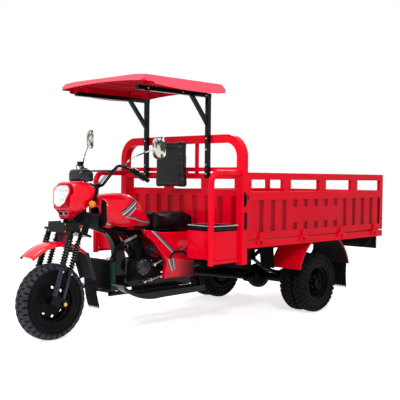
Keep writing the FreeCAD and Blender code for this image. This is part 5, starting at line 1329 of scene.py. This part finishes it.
CABLES = [
    [(1.262, 0.050, 1.090), (1.180, 0.050, 1.115), (1.170, 0.120, 1.175)]
    + [(1.160, 0.200, 1.250), (1.110, 0.270, 1.270), (1.062, 0.312, 1.236)],
    [(1.262, 0.070, 1.080), (1.215, 0.085, 1.110), (1.205, 0.140, 1.180)]
    + [(1.180, 0.210, 1.240), (1.120, 0.290, 1.245), (1.064, 0.318, 1.226)],
    [(1.262, -0.050, 1.090), (1.180, -0.050, 1.115), (1.170, -0.120, 1.180)]
    + [(1.165, -0.200, 1.255), (1.110, -0.270, 1.275), (1.062, -0.312, 1.236)],
    [(1.262, -0.070, 1.080), (1.215, -0.085, 1.110), (1.200, -0.150, 1.200)]
    + [(1.185, -0.220, 1.262), (1.135, -0.262, 1.285), (1.120, -0.250, 1.282)],
]
made = [pipe("cable", points, 0.0034, 2) for points in CABLES]
done(join("control_cables", made), black_plastic, "steering", smooth=60)
print("cables", len(CABLES))

# %% [markdown]
# ## Mirrors
# Two chromed mirrors stand on bent stems. A head is a thin rounded shell: its rim is thicker than
# its back, and the glass is a separate sheet inset on the side that faces the rider.

# %% Mirrors
MIRRORS = {
    "left": (Vector((1.004, 0.528, 1.398)), 0.130, 0.160, 0.0),
    "right": (Vector((0.872, -0.450, 1.494)), 0.118, 0.156, -0.30),
}
MIRROR_STEMS = {
    "left": [(1.087, 0.258, 1.263), (1.085, 0.262, 1.292), (1.062, 0.330, 1.340), (1.012, 0.500, 1.392)],
    "right": [(1.087, -0.258, 1.263), (1.078, -0.268, 1.300), (1.000, -0.350, 1.360)]
    + [(0.910, -0.425, 1.432), (0.880, -0.448, 1.470)],
}
for side, (middle, width, height, yaw) in MIRRORS.items():
    turn = Matrix.Translation(middle) @ Matrix.Rotation(yaw, 4, "Z")
    head = straight_loft(
        "mirror_head",
        "X",
        ORIGIN,
        [
            (-0.010, width, height),
            (-0.002, width, height),
            (0.008, width * 0.9, height * 0.92),
            (0.013, width * 0.6, height * 0.68),
        ],
        width * 0.34,
        6,
    )
    pick(head, "FACE", lambda place, normal: place.x < -0.0099 and normal.x < -0.9)
    bpy.ops.mesh.inset(thickness=0.0035)
    push(0.003, 0, 0)
    deselect()
    boss = rod("mirror_boss", (0.006, 0, -height * 0.22), (0.018, 0, -height * 0.22), 0.011, 20)
    head = join("mirror_head", [bevel(head, 0.0012, 2), bevel(boss, 0.002, 2)])
    moved(head, turn)
    stem = MIRROR_STEMS[side]
    stalk = pipe("mirror_stem", stem, 0.0052)
    foot = Vector(stem[0])
    clamp = rod("mirror_clamp", foot - Vector((0, 0, 0.004)), foot + Vector((0, 0, 0.014)), 0.011, 6)
    head = join(f"mirror_{side}", [head, stalk, bevel(clamp, 0.001, 1)])
    done(head, mirror_chrome, "steering", ["mirrors"] if side == "left" else (), 50)
    pane = (width - 0.009, height - 0.009)
    glass = straight_loft(
        "mirror_glass", "X", ORIGIN, [(-0.0092, *pane), (-0.0074, *pane)], width * 0.3, 6
    )
    glass = done(moved(glass, turn), mirror_glass, "steering")
    glass.name = f"mirror_glass_{side}"
print("mirrors", len(MIRRORS))

# %% [markdown]
# ## Front board
# The plate board between the lamp and the fork stays blank, with a red reflector on each end and a
# small bolt in each corner.

# %% Front board
reflector = straight_loft(
    "side_reflector", "Y", (1.394, 0, 0.819), [(0.1215, 0.024, 0.024), (0.1245, 0.023, 0.023)], 0.003, 2
)
done(both_sides("side_reflectors", bevel(reflector, 0.0006, 1)), red_lens, "steering")
board_bolts = [((1.5155, y, z), (1, 0, 0)) for y in (-0.104, 0.104) for z in (0.790, 0.842)]
nuts("board_bolts", 0.0055, 0.003, board_bolts, zinc, "steering")
print("board bolts", len(board_bolts))

# %% [markdown]
# ## Shroud, gusset and wiring
# A black shroud hides the wiring at the tank's nose, and a gusset stiffens the head tube: both stay
# with the frame. The lamp housing's dark backing and the loom below it turn with the steering.

# %% Shroud, gusset and wiring
SHROUD_ROWS = [
    (1.128, 0.905, 0.190, 0.180),
    (1.136, 0.910, 0.200, 0.204),
    (1.154, 0.912, 0.190, 0.204),
    (1.164, 0.902, 0.150, 0.150),
    (1.169, 0.900, 0.100, 0.110),
]
GUSSET_ROWS = [(1.176, 0.110, 0.130), (1.200, 0.090, 0.120), (1.256, 0.070, 0.090), (1.262, 0.060, 0.080)]
BACKING_ROWS = [
    (1.226, 1.030, 0.090, 0.110),
    (1.240, 1.030, 0.120, 0.140),
    (1.264, 1.040, 0.150, 0.118),
]
LOOM_ROWS = [
    (1.290, 0.905, 0.110, 0.130),
    (1.300, 0.900, 0.136, 0.150),
    (1.372, 0.880, 0.130, 0.110),
    (1.380, 0.878, 0.110, 0.090),
]
shroud = middle_loft("wiring_shroud", SHROUD_ROWS, 0.035)
done(bevel(shroud, 0.002, 2), sheet_rubber, "frame")
gusset = straight_loft("head_gusset", "X", (0, 0, 0.850), GUSSET_ROWS, 0.016)
done(bevel(gusset, 0.002, 2), black_paint, "frame")
backing = middle_loft("lamp_backing", BACKING_ROWS, 0.020)
loom = middle_loft("lamp_loom", LOOM_ROWS, 0.024)
backing = join("lamp_backing", [backing, loom])
done(bevel(backing, 0.002, 2), black_plastic, "steering")
print("shroud faces", len(shroud.data.polygons))

# %% [markdown]
# ## Fork lugs
# Each strut has a bright lug above its spring and one below it. They are placed along the strut and
# leaned back with it, as the springs are.

# %% Fork lugs
LUG_PLACES = ((-0.020, 0.166), (-0.295, 0.163))
fork_lugs = []
for lead in (STRUT_LEAD - STRUT_HALF, STRUT_LEAD + STRUT_HALF):
    for drop, out in LUG_PLACES:
        fork_lugs.append((lean_back @ Vector((lead, out, drop)), LEFTWARD))
fork_lugs = sided(fork_lugs)
nuts("fork_lugs", 0.0075, 0.006, fork_lugs, zinc, "steering")
print("fork lugs", len(fork_lugs))

# %% [markdown]
# ## Engine
# The fixed model has a plain block for the engine. Here it gets its real parts, beginning with a
# crankcase that is split down the middle, a ringed magneto cover on the left and a clutch cover on
# the right. Everything is black alloy with a few bright screws.

# %% Engine case
CASE_SECTIONS = [
    ((0.705, -0.136, 0.436), 0.200, 0.160),
    ((0.705, -0.126, 0.436), 0.236, 0.196),
    ((0.706, -0.100, 0.436), 0.246, 0.206),
    ((0.708, -0.006, 0.438), 0.276, 0.232),
    ((0.708, -0.003, 0.438), 0.288, 0.242),
    ((0.708, 0.003, 0.438), 0.288, 0.242),
    ((0.708, 0.006, 0.438), 0.276, 0.232),
    ((0.706, 0.090, 0.436), 0.252, 0.212),
    ((0.706, 0.094, 0.436), 0.262, 0.222),
    ((0.706, 0.100, 0.436), 0.262, 0.222),
    ((0.706, 0.104, 0.436), 0.248, 0.208),
    ((0.706, 0.122, 0.436), 0.228, 0.190),
]
case = bevel(loft("engine_case", "Y", CASE_SECTIONS, 0.050, 6), 0.003, 2, 30)
done(case, cast_metal, "frame", ["engine_block"])

MAGNETO = Vector((0.786, 0.122, 0.478))
RING_STEPS = ((0.005, 0.007), (0.012, -0.004), (0.004, 0.005), (0.012, -0.003), (0.006, 0.004))
magneto = rod("magneto_cover", MAGNETO - Vector((0, 0.012, 0)), MAGNETO + Vector((0, 0.014, 0)), 0.060, 48)
step_face(magneto, LEFTWARD, *RING_STEPS)
done(bevel(magneto, 0.0018, 2, 50), worn_alloy, "frame")
screws = circle_of(MAGNETO, 0.0555, 8, MAGNETO.y + 0.014, 1, 0.2)
nuts("magneto_screws", 0.0048, 0.004, screws, zinc, "frame")

CLUTCH = Vector((0.690, -0.130, 0.440))
clutch = rod("clutch_cover", CLUTCH + Vector((0, 0.010, 0)), CLUTCH - Vector((0, 0.006, 0)), 0.078, 48)
step_face(clutch, (0, -1, 0), (0.010, 0.004), (0.030, -0.003))
done(bevel(clutch, 0.002, 2, 50), cast_metal, "frame")
screws = circle_of(CLUTCH, 0.072, 7, CLUTCH.y - 0.005, -1, 0.4)
nuts("clutch_screws", 0.0048, 0.004, screws, zinc, "frame")
EDGE_SCREWS = ((0.606, 0.352), (0.606, 0.520), (0.700, 0.346), (0.700, 0.524), (0.800, 0.360))
screws = [((x, 0.121, z), LEFTWARD) for x, z in EDGE_SCREWS]
nuts("case_screws", 0.0052, 0.004, screws, zinc, "frame")
print("case faces", len(case.data.polygons))

# %% [markdown]
# ## Barrel and head
# The barrel leans forward. A fin is one bevelled plate, copied along the barrel, and the plug's cap
# sticks out on the left.

# %% Barrel and head
BARREL_FOOT, BARREL_TOP = Vector((0.735, 0.010, 0.545)), Vector((0.800, 0.010, 0.668))
barrel_way = (BARREL_TOP - BARREL_FOOT).normalized()
barrel_length = (BARREL_TOP - BARREL_FOOT).length
FIN_COUNT = 10
HEAD_STEPS = ((0, 0.094, 0.112), (0.006, 0.100, 0.118), (0.022, 0.090, 0.106), (0.026, 0.070, 0.086))
core_rows = [(-0.02, 0.090, 0.104), (barrel_length, 0.090, 0.104)]
core = straight_loft("barrel_core", "Z", ORIGIN, core_rows, 0.02)
fin = straight_loft("fin", "Z", ORIGIN, [(0, 0.104, 0.128), (0.0045, 0.104, 0.128)], 0.016, 3)
fin_places = [Matrix.Translation((0, 0, barrel_length / FIN_COUNT * number)) for number in range(FIN_COUNT)]
fins = spread("fins", bevel(fin, 0.001, 1), fin_places)
head_rows = [(barrel_length + up, width, height) for up, width, height in HEAD_STEPS]
head = straight_loft("cylinder_head", "Z", ORIGIN, head_rows, 0.02)
barrel = join("engine_barrel", [core, fins, bevel(head, 0.0015, 2)])
to_barrel = stand(BARREL_FOOT, barrel_way)
done(moved(barrel, to_barrel), cast_metal, "frame")
plug_foot, plug_top = (0.012, 0.052, barrel_length * 0.80), (0.012, 0.092, barrel_length * 0.92)
plug = rod("plug_cap", plug_foot, plug_top, 0.0085, 16)
done(moved(bevel(plug, 0.001, 1), to_barrel), black_plastic, "frame")
print("barrel faces", len(barrel.data.polygons))

# %% [markdown]
# ## Air pipe
# A short silver pipe runs forward from the barrel's head, with a black hose bent down at each end.

# %% Air pipe
AIR_FRONT, AIR_REAR = Vector((0.934, 0.060, 0.676)), Vector((0.805, 0.060, 0.722))
AIR_RADIUS, HOSE_RADIUS = 0.0125, 0.0135
air_way = (AIR_REAR - AIR_FRONT).normalized()
air_pipe = rod("air_pipe", AIR_FRONT, AIR_REAR, AIR_RADIUS, 28)
pick(air_pipe, "FACE", lambda middle, normal: abs(normal.dot(air_way)) > 0.8)
bpy.ops.mesh.inset(thickness=0.004)
deselect()
front_bend = [AIR_FRONT, (0.965, 0.060, 0.664), (0.985, 0.052, 0.650), (0.990, 0.030, 0.610)]
rear_bend = [AIR_REAR, (0.775, 0.058, 0.732), (0.760, 0.040, 0.715), (0.762, 0.030, 0.660)]
elbow = pipe("elbow", front_bend, HOSE_RADIUS)
tail = pipe("tail", rear_bend, HOSE_RADIUS)
worn_silver = cast_alloy("worn_silver", colour(96, 98, 100), colour(168, 168, 168))
done(bevel(air_pipe, 0.0025, 3), worn_silver, "frame", smooth=50)
done(join("air_hoses", [elbow, tail]), sheet_rubber, "frame", smooth=60)
print("air pipe faces", len(air_pipe.data.polygons))

# %% [markdown]
# ## Carburettor and hoses
# The carburettor is a stepped bowl with a round throat across it. Six hoses and leads run from it,
# from the radiator and from the plug, each held at both ends, and four bright clips hold the thick
# ones.

# %% Carburettor and hoses
BOWL_STEPS = ((0.560, 0.034), (0.568, 0.044), (0.596, 0.044), (0.600, 0.052))
BOWL_STEPS += ((0.606, 0.052), (0.612, 0.036), (0.640, 0.032))
bowl_rows = [(z, size, size) for z, size in BOWL_STEPS]
bowl = straight_loft("carburettor", "Z", (0.655, 0.070, 0), bowl_rows, 0.010)
throat = rod("carburettor_throat", (0.605, 0.060, 0.600), (0.715, 0.075, 0.600), 0.019, 28)
carburettor = join("carburettor", [bevel(bowl, 0.001, 2), bevel(throat, 0.002, 2)])
done(carburettor, worn_alloy, "frame")
HOSES = [
    ([(0.610, 0.058, 0.600), (0.560, 0.050, 0.605), (0.520, 0.030, 0.630), (0.470, 0.020, 0.640)], 0.021),
    ([(1.098, 0.085, 0.540), (1.060, 0.085, 0.590), (0.980, 0.060, 0.640), (0.860, 0.030, 0.640)], 0.011),
    ([(1.098, -0.085, 0.340), (1.030, -0.090, 0.345), (0.930, -0.080, 0.385), (0.840, -0.070, 0.400)], 0.011),
    ([(0.790, 0.098, 0.640), (0.760, 0.125, 0.690), (0.700, 0.090, 0.730), (0.640, 0.030, 0.745)], 0.0045),
    ([(0.655, 0.092, 0.585), (0.690, 0.140, 0.570), (0.730, 0.135, 0.610), (0.760, 0.110, 0.690)], 0.0035),
    ([(0.640, 0.080, 0.630), (0.620, 0.110, 0.690), (0.660, 0.090, 0.740), (0.740, 0.060, 0.790)], 0.004),
]
hoses = [pipe("hose", points, radius, 2) for points, radius in HOSES]
done(join("engine_hoses", hoses), sheet_rubber, "frame", smooth=60)
CLIPS = [
    ((0.590, 0.055, 0.601), (1, 0.1, 0), 0.022),
    ((1.085, 0.085, 0.560), (-0.6, 0, 0.8), 0.012),
    ((0.880, 0.034, 0.641), (-1, -0.2, 0), 0.012),
    ((1.070, -0.086, 0.341), (-1, 0, 0), 0.012),
]
clips = []
for place, way, radius in CLIPS:
    deselect()
    bpy.ops.mesh.primitive_torus_add(
        major_radius=radius, minor_radius=0.0018, major_segments=28, minor_segments=6
    )
    clips.append(moved(settle("clip"), stand(place, way)))
done(join("hose_clips", clips), zinc, "frame")
print("hoses", len(HOSES))

# %% [markdown]
# ## Mud flaps
# Thick sheets of rubber hang behind the front wheel and behind the rear wheels. Their lower edges
# are cut in teeth. A subdivided sheet has every second point of its foot raised, and the Solidify
# modifier gives it its thickness.

# %% Mud flaps
TOOTH_DEPTH, FLAP_BELLY = 0.030, 0.010


def toothed_flap(name, x_top, x_foot, y_low, y_high, foot, top, teeth, thickness=0.006):
    """A hanging sheet with a toothed foot."""
    middle = ((x_top + x_foot) / 2, (y_low + y_high) / 2, (foot + top) / 2)
    deselect()
    bpy.ops.mesh.primitive_grid_add(
        x_subdivisions=teeth * 2, y_subdivisions=6, size=1, location=middle, rotation=TURN_TO["X"]
    )
    bpy.context.object.scale = (y_high - y_low, top - foot, 1)
    part = settle(name)
    pitch = (y_high - y_low) / (teeth * 2)

    def every_second(place, normal):
        return place.z < foot + 0.01 and round((place.y - y_low) / pitch) % 2 == 0

    pick(part, "VERT", every_second)
    bpy.ops.transform.translate(value=(0, 0, TOOTH_DEPTH))
    mesh = bmesh.from_edit_mesh(part.data)
    for vertex in mesh.verts:
        share = (vertex.co.z - foot) / (top - foot)
        vertex.co.x += (x_top - x_foot) * (share - 0.5) + FLAP_BELLY * math.sin(math.pi * share)
    bmesh.update_edit_mesh(part.data)
    deselect()
    return bevel(apply_modifier(part, "SOLIDIFY", thickness=thickness, offset=0), 0.001, 1, 50)


flap = toothed_flap(
    "front_flap", x_top=1.2140, x_foot=1.1680, y_low=-0.070, y_high=0.070, foot=0.182, top=0.414, teeth=6
)
done(flap, sheet_rubber, "steering", ["front_mud_flap"])
low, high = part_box("rear_mud_flaps")
rear_flaps = toothed_flap(
    "rear_flaps",
    x_top=low.x + 0.012,
    x_foot=low.x + 0.004,
    y_low=0.449,
    y_high=high.y - 0.004,
    foot=0.172,
    top=high.z,
    teeth=14,
)
done(both_sides("rear_flaps", rear_flaps), sheet_rubber, "frame", ["rear_mud_flaps"])
print("flap faces", len(flap.data.polygons))

# %% [markdown]
# ## Latches and bolts
# A black latch on each side of the front hoop locks the side gate: a strap with a hooked lever over
# it and a handle below. Zinc bolts hold the canopy's posts to the hoop's bars, and three more sit
# along each of its side beams.

# %% Latches and bolts
LATCH_FACE, POST_FACE, BEAM_FACE = 0.7325, 0.3325, 0.3845


def latch(x, high, low):
    """A black hasp on the gate's end: a strap, a hooked lever and its two rivets."""
    middle, tall = (x, 0, (high + low) / 2), high - low
    rows = [(LATCH_FACE - 0.004, 0.022, tall), (LATCH_FACE, 0.020, tall - 0.002)]
    strap = straight_loft("strap", "Y", middle, rows, 0.006)
    lever_way = [
        (x - 0.004, 0.736, high - 0.020),
        (x - 0.010, 0.740, high - 0.045),
        (x - 0.006, 0.740, low + 0.030),
        (x, 0.736, low + 0.010),
    ]
    hook_way = [
        (x, 0.734, high - 0.030),
        (x - 0.018, 0.741, high - 0.020),
        (x - 0.034, 0.741, high - 0.035),
        (x - 0.030, 0.740, high - 0.060),
    ]
    lever = pipe("lever", lever_way, 0.005)
    hook = pipe("hook", hook_way, 0.004)
    rivet_places = [stand((x, LATCH_FACE, z), LEFTWARD) for z in (high - 0.012, low + 0.012)]
    rivets = spread("rivets", nut(0.006, 0.003), rivet_places)
    return join("latch", [bevel(strap, 0.0008, 1), lever, hook, rivets])


front_latch = latch(0.272, 1.075, 0.960)
done(both_sides("front_latches", front_latch), black_paint, "frame")
handle_rows = [(0.727, 0.020, 0.135), (0.733, 0.024, 0.140), (0.741, 0.018, 0.128)]
handle = straight_loft("latch_handle", "Y", (0.262, 0, 0.850), handle_rows, 0.009)
done(both_sides("latch_handles", bevel(handle, 0.0015, 2)), black_plastic, "frame")
post_bolts = sided([((POST_FACE, 0.367, z), (1, 0, 0)) for z in (1.215, 1.290, 1.412, 1.500)])
nuts("post_bolts", 0.0085, 0.006, post_bolts, zinc, "frame")
beam_bolts = sided([((x, BEAM_FACE, 1.845), LEFTWARD) for x in (0.360, 0.620, 0.980)])
nuts("canopy_bolts", 0.0075, 0.005, beam_bolts, zinc, "frame")
print("bolts", len(post_bolts) + len(beam_bolts))

# %% [markdown]
# ## Radiator and foot board strips
# The radiator stands behind the front wheel. It gets a dark green tank on its left side and a
# filler cap. The foot boards carry raised rubber strips.

# %% Radiator and foot board strips
green_tank = gloss_paint("tank_green", colour(8, 44, 30), colour(14, 58, 40), 0.34, 0.1).material
TANK_ROWS = [(0.324, 0.036, 0.020), (0.332, 0.042, 0.026), (0.540, 0.042, 0.026), (0.547, 0.036, 0.020)]
tank = straight_loft("radiator_tank", "Z", (1.112, 0.151, 0), TANK_ROWS, 0.007)
done(bevel(tank, 0.001, 1), green_tank, "frame")
cap = rod("filler_cap", (1.112, 0.090, 0.553), (1.112, 0.090, 0.570), 0.017, 24)
step_face(cap, UPWARD, (0.004, 0.004))
done(bevel(cap, 0.001, 1), zinc, "frame")
STRIP_PLACES = (0.215, 0.245, 0.275, 0.305)
strip_rows = [(0.3115, 0.620, 0.010), (0.3150, 0.616, 0.006)]
strip = straight_loft("tread_strip", "Z", (0.645, 0, 0), strip_rows, 0.003, 2)
strips = [Matrix.Translation((0, side * y, 0)) for side in (-1, 1) for y in STRIP_PLACES]
strips = spread("foot_board_strips", strip, strips)
done(strips, sheet_rubber, "frame")
print("strips a foot board", len(STRIP_PLACES))

# %% [markdown]
# ## Splash sheets
# A dark sheet hangs on each side under the bed, ahead of the rear wheels. Its foot is drawn back a
# little and is narrower than its top.

# %% Splash sheets
SPLASH_X, SPLASH_TOP, SPLASH_LOW = -0.380, 0.640, 0.405
SPLASH_INNER, SPLASH_OUTER = 0.338, 0.500
splash_low = (SPLASH_X - 0.002, SPLASH_INNER, SPLASH_LOW)
splash = block("splash_sheet", splash_low, (SPLASH_X + 0.002, SPLASH_OUTER, SPLASH_TOP))
pick(splash, "VERT", lambda place, normal: place.z < SPLASH_LOW + 0.01)
bpy.ops.transform.resize(value=(1, 0.94, 1), center_override=(SPLASH_X, 0.42, SPLASH_LOW))
bpy.ops.transform.translate(value=(-0.03, 0, 0))
deselect()
splash = bevel(splash, 0.0012, 1)
splash = done(both_sides("splash_sheets", splash), sheet_rubber, "frame")
print("splash sheet faces", len(splash.data.polygons))

# %% [markdown]
# ## Foot board upstands and cover straps
# A thin upright edge runs along the inner side of each foot board. A bent black strap and three
# bolts sit on each side cover.

# %% Foot board upstands and cover straps
upstand_rows = [(0.186, 0.640, 0.082), (0.189, 0.640, 0.082)]
upstand = straight_loft("foot_board_upstand", "Y", (0.640, 0, 0.352), upstand_rows, 0.012)
done(both_sides("foot_board_upstands", bevel(upstand, 0.001, 1)), black_paint, "frame")
STRAP_WAY = [(0.590, 0.224, 0.545), (0.560, 0.226, 0.585), (0.500, 0.227, 0.592)]
STRAP_WAY += [(0.440, 0.226, 0.585), (0.400, 0.222, 0.560)]
strap = pipe("knee_strap", STRAP_WAY, 0.0095)
done(both_sides("cover_straps", strap), black_plastic, "frame", smooth=60)
BOLT_PLACES = ((0.842, 0.748), (0.600, 0.420), (0.350, 0.700))
cover_bolts = sided([((x, 0.2155, z), LEFTWARD) for x, z in BOLT_PLACES])
nuts("cover_bolts", 0.0065, 0.004, cover_bolts, black_plastic, "frame")
print("cover bolts", len(cover_bolts))

# %% [markdown]
# ## Padded seats
# The rider's seat, its back rest and the two side seats are foam under vinyl. Each starts as a
# rounded block a little smaller than its place, is remeshed to even small faces, and is blown up by
# a short cloth simulation, so that the faces belly between the edges. How far a point may travel is
# capped. The sunk seam channels come after that, because remeshing would lose them.

# %% Padding functions
VOXEL = 0.006


def inflate(part, pressure, cap, frames=16):
    """Blows a closed mesh up with the Cloth modifier and keeps every point within a distance."""
    focus(part)
    part.data.remesh_voxel_size = VOXEL
    bpy.ops.object.voxel_remesh()
    before = [vertex.co.copy() for vertex in part.data.vertices]
    cloth = part.modifiers.new("Cloth", "CLOTH")
    cloth.settings.use_pressure = True
    cloth.settings.uniform_pressure_force = pressure
    cloth.settings.effector_weights.gravity = 0
    cloth.settings.quality = 4
    cloth.collision_settings.use_collision = False
    scene = bpy.context.scene
    for frame_number in range(1, frames + 1):
        scene.frame_set(frame_number)
    bpy.ops.object.modifier_apply(modifier=cloth.name)
    scene.frame_set(1)
    for vertex, old in zip(part.data.vertices, before):
        travel = vertex.co - old
        if travel.length > cap:
            vertex.co = old + travel.normalized() * cap
    return part


def channel(part, depth, width, amount):
    """Sinks a sewn seam: amount tells for a point how near it is to a seam, in metres."""
    for vertex in part.data.vertices:
        near = amount(vertex.co)
        if near < width:
            vertex.co -= vertex.normal * depth * (0.5 + 0.5 * math.cos(math.pi * near / width))
    return part


print("padding functions ready")

# %% [markdown]
# The rider's seat is one long pad that dips in the middle and tucks under the tank. It starts as a
# copy of the fixed model's seat.

# %% Saddle
SEAT_LOW, SEAT_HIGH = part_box("rider_seat")
seat = copy_of(frame["nodes"]["rider_seat"], Matrix.Identity(4))
seat.name = "saddle"
pick(seat, "FACE", everything)
bpy.ops.mesh.remove_doubles(threshold=0.0001)
bpy.ops.mesh.normals_make_consistent(inside=False)
deselect()
middle = (SEAT_LOW + SEAT_HIGH) / 2
for vertex in seat.data.vertices:
    vertex.co = middle + (vertex.co - middle) * 0.965
inflate(seat, 4.0, 0.010)
apply_modifier(seat, "SMOOTH", factor=0.6, iterations=6)
SEAM_HIGH = SEAT_LOW.z + 0.040
channel(seat, 0.0035, 0.007, lambda place: abs(place.z - SEAM_HIGH - 0.03 * (place.x - 0.3)))
channel(seat, 0.0030, 0.008, lambda place: abs(place.x - 0.452) if place.z > 0.82 else 1.0)
subdivided(seat)
for vertex in seat.data.vertices:
    vertex.co.z = max(vertex.co.z, SEAT_LOW.z + 0.0005)
done(seat, black_vinyl, "frame", ["rider_seat"], 60)
print("saddle faces", len(seat.data.polygons))

# %% [markdown]
# The back rest is a glossy upright pad, a little narrower at the top, with pulled seams near its
# sides.

# %% Back rest
BACK_LOW, BACK_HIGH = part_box("seat_back")
BACK_Y = 0.012
middle = (BACK_LOW + BACK_HIGH) / 2
width, height = BACK_HIGH.y - BACK_LOW.y, BACK_HIGH.z - BACK_LOW.z
back = straight_loft(
    "back_rest",
    "X",
    (0, BACK_Y, middle.z),
    [
        (BACK_LOW.x + 0.003, width - 0.070, height - 0.018),
        (BACK_LOW.x + 0.018, width - 0.056, height - 0.010),
        (BACK_HIGH.x - 0.020, width - 0.056, height - 0.010),
        (BACK_HIGH.x - 0.010, width - 0.080, height - 0.026),
    ],
    0.026,
    6,
)
pick(back, "VERT", lambda place, normal: place.z > middle.z)
bpy.ops.transform.resize(value=(1, 0.94, 1), center_override=middle)
deselect()
inflate(back, 4.0, 0.010)
apply_modifier(back, "SMOOTH", factor=0.6, iterations=5)
channel(back, 0.0040, 0.008, lambda place: abs(abs(place.y) - 0.150) if place.x > middle.x else 1.0)
channel(back, 0.0030, 0.007, lambda place: abs(place.x - middle.x + 0.006))
for vertex in back.data.vertices:
    if vertex.co.x > middle.x:
        pulled = max(0.0, 1 - abs(abs(vertex.co.y) - 0.165) / 0.035)
        vertex.co.x += 0.0022 * pulled * math.sin(vertex.co.z * 95 + vertex.co.y * 30)
subdivided(back)
for vertex in back.data.vertices:
    vertex.co.x = max(BACK_LOW.x + 0.0005, min(BACK_HIGH.x + 0.004, vertex.co.x))
patent_vinyl = vinyl("patent_vinyl", 0.5)
done(back, patent_vinyl, "frame", ["seat_back"], 60)
print("back rest faces", len(back.data.polygons))

# %% [markdown]
# A thin pad lies on each side box.

# %% Side pads
PAD_LOW, PAD_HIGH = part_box("side_seats")
PAD_INNER = 0.3975
pad_long, pad_wide = PAD_HIGH.x - PAD_LOW.x, PAD_HIGH.y - PAD_INNER


def pad_middle(side, z):
    """The middle of one side's pad, at a height."""
    return Vector(((PAD_LOW.x + PAD_HIGH.x) / 2, side * (PAD_INNER + PAD_HIGH.y) / 2, z))


pads = []
for side in (-1, 1):
    long, wide = pad_long - 0.014, pad_wide - 0.014
    rows = [
        (PAD_LOW.z + 0.001, long - 0.004, wide - 0.004),
        (PAD_LOW.z + 0.012, long, wide),
        (PAD_HIGH.z - 0.016, long, wide),
        (PAD_HIGH.z - 0.009, long - 0.016, wide - 0.016),
    ]
    pad = straight_loft("side_pad", "Z", pad_middle(side, 0), rows, 0.022, 5)
    inflate(pad, 3.0, 0.006)
    apply_modifier(pad, "SMOOTH", factor=0.6, iterations=3)
    channel(pad, 0.0025, 0.007, lambda place: abs(place.z - PAD_LOW.z - 0.030))
    subdivided(pad)
    for vertex in pad.data.vertices:
        vertex.co.z = max(PAD_LOW.z + 0.0005, vertex.co.z)
        vertex.co.y = side * min(abs(vertex.co.y), PAD_HIGH.y)
    done(pad, black_vinyl, "frame", ["side_seats"], 60)
    pad.name = "side_pad_left" if side > 0 else "side_pad_right"
    pads.append(pad)
print("side pads", len(pads), "faces", len(pads[0].data.polygons))

# %% [markdown]
# A bright strip edges each side pad.

# %% Seat trims
silver_edge = grained_plastic("silver_edge", colour(168, 166, 172), colour(214, 212, 218), 0.24, 200.0)
trims = []
for side in (-1, 1):
    place = pad_middle(side, PAD_HIGH.z - 0.010)
    sizes = (pad_long - 0.003, pad_wide - 0.003)
    trim = ring_plate("seat_trim", "Z", place, *sizes, 0.022, 0.005, (0, 0, 0.005))
    trims.append(bevel(trim, 0.0012, 2))
trims = done(join("seat_trims", trims), silver_edge, "frame")
print("seat trim faces", len(trims.data.polygons))

# %% [markdown]
# ## Studio
# The picture has a plain white ground. The floor is a white sheet that keeps the soft shadow: the
# part of it that is lit shows as white, and to the camera it glows a little, so that its far edge
# melts into the white behind it. Lamps and sky stay low, at a level where red paint stays red.

# %% Studio
FLOOR_GLOW, SKY_LIGHT = 0.72, 0.45
WHITE = (1, 1, 1, 1)

deselect()
bpy.ops.mesh.primitive_plane_add(size=60)
floor = settle("studio_floor")
ground = Finish("studio_floor", Base_Color=colour(240, 240, 240), Roughness=0.95, Specular_IOR_Level=0.0)
path = ground.node("ShaderNodeLightPath")
seen = path.most(path.output(3)).most(path.output(6))
glow = ground.node("ShaderNodeEmission", None, WHITE, FLOOR_GLOW)
plain = Value(ground, ground.shader.outputs[0])
bright = ground.node("ShaderNodeAddShader", None, plain, glow)
surface = ground.node("ShaderNodeMixShader", None, seen, plain, bright)
ground.feed(ground.tree.nodes["Material Output"].inputs["Surface"], surface)
floor.data.materials.append(ground.material)
print("studio floor ready")

# %% [markdown]
# To the camera and in reflections the sky is pure white, and only its light on the model is dimmer.
# Four lamps aim at the vehicle's middle: each has its place, its power in watts and its size.

# %% Sky and lamps
world = bpy.data.worlds.new("studio")
bpy.context.scene.world = world
world.use_nodes = True
nodes, links = world.node_tree.nodes, world.node_tree.links
sky = nodes["Background"]
sky.inputs["Color"].default_value = WHITE
light_path = nodes.new("ShaderNodeLightPath")
seen = light_path.outputs["Is Camera Ray"]
for ray in ("Is Glossy Ray", "Is Transmission Ray"):
    either = nodes.new("ShaderNodeMath")
    either.operation = "MAXIMUM"
    links.new(seen, either.inputs[0])
    links.new(light_path.outputs[ray], either.inputs[1])
    seen = either.outputs[0]
strength = nodes.new("ShaderNodeMapRange")
strength.inputs["To Min"].default_value = SKY_LIGHT
strength.inputs["To Max"].default_value = 1.0
links.new(seen, strength.inputs["Value"])
links.new(strength.outputs[0], sky.inputs["Strength"])

LAMP_AIM = Vector((0.2, 0, 0.8))
LAMPS = {
    "key": ((3.4, 5.0, 4.6), 158, 0.8),
    "top": ((1.8, 1.4, 4.2), 75, 1.5),
    "front": ((6.0, -1.0, 3.4), 90, 0.9),
    "rim": ((-4.5, -3.5, 4.5), 120, 1.2),
}
for name, (place, power, size) in LAMPS.items():
    bpy.ops.object.light_add(type="AREA", location=place)
    lamp = bpy.context.object
    lamp.name = name
    lamp.data.energy = power
    lamp.data.size = size
    aim = LAMP_AIM - Vector(place)
    lamp.rotation_euler = aim.to_track_quat("-Z", "Y").to_euler()
bpy.context.scene.view_settings.view_transform = "Standard"
print("lamps", len(LAMPS))

# %% Finish
deselect()
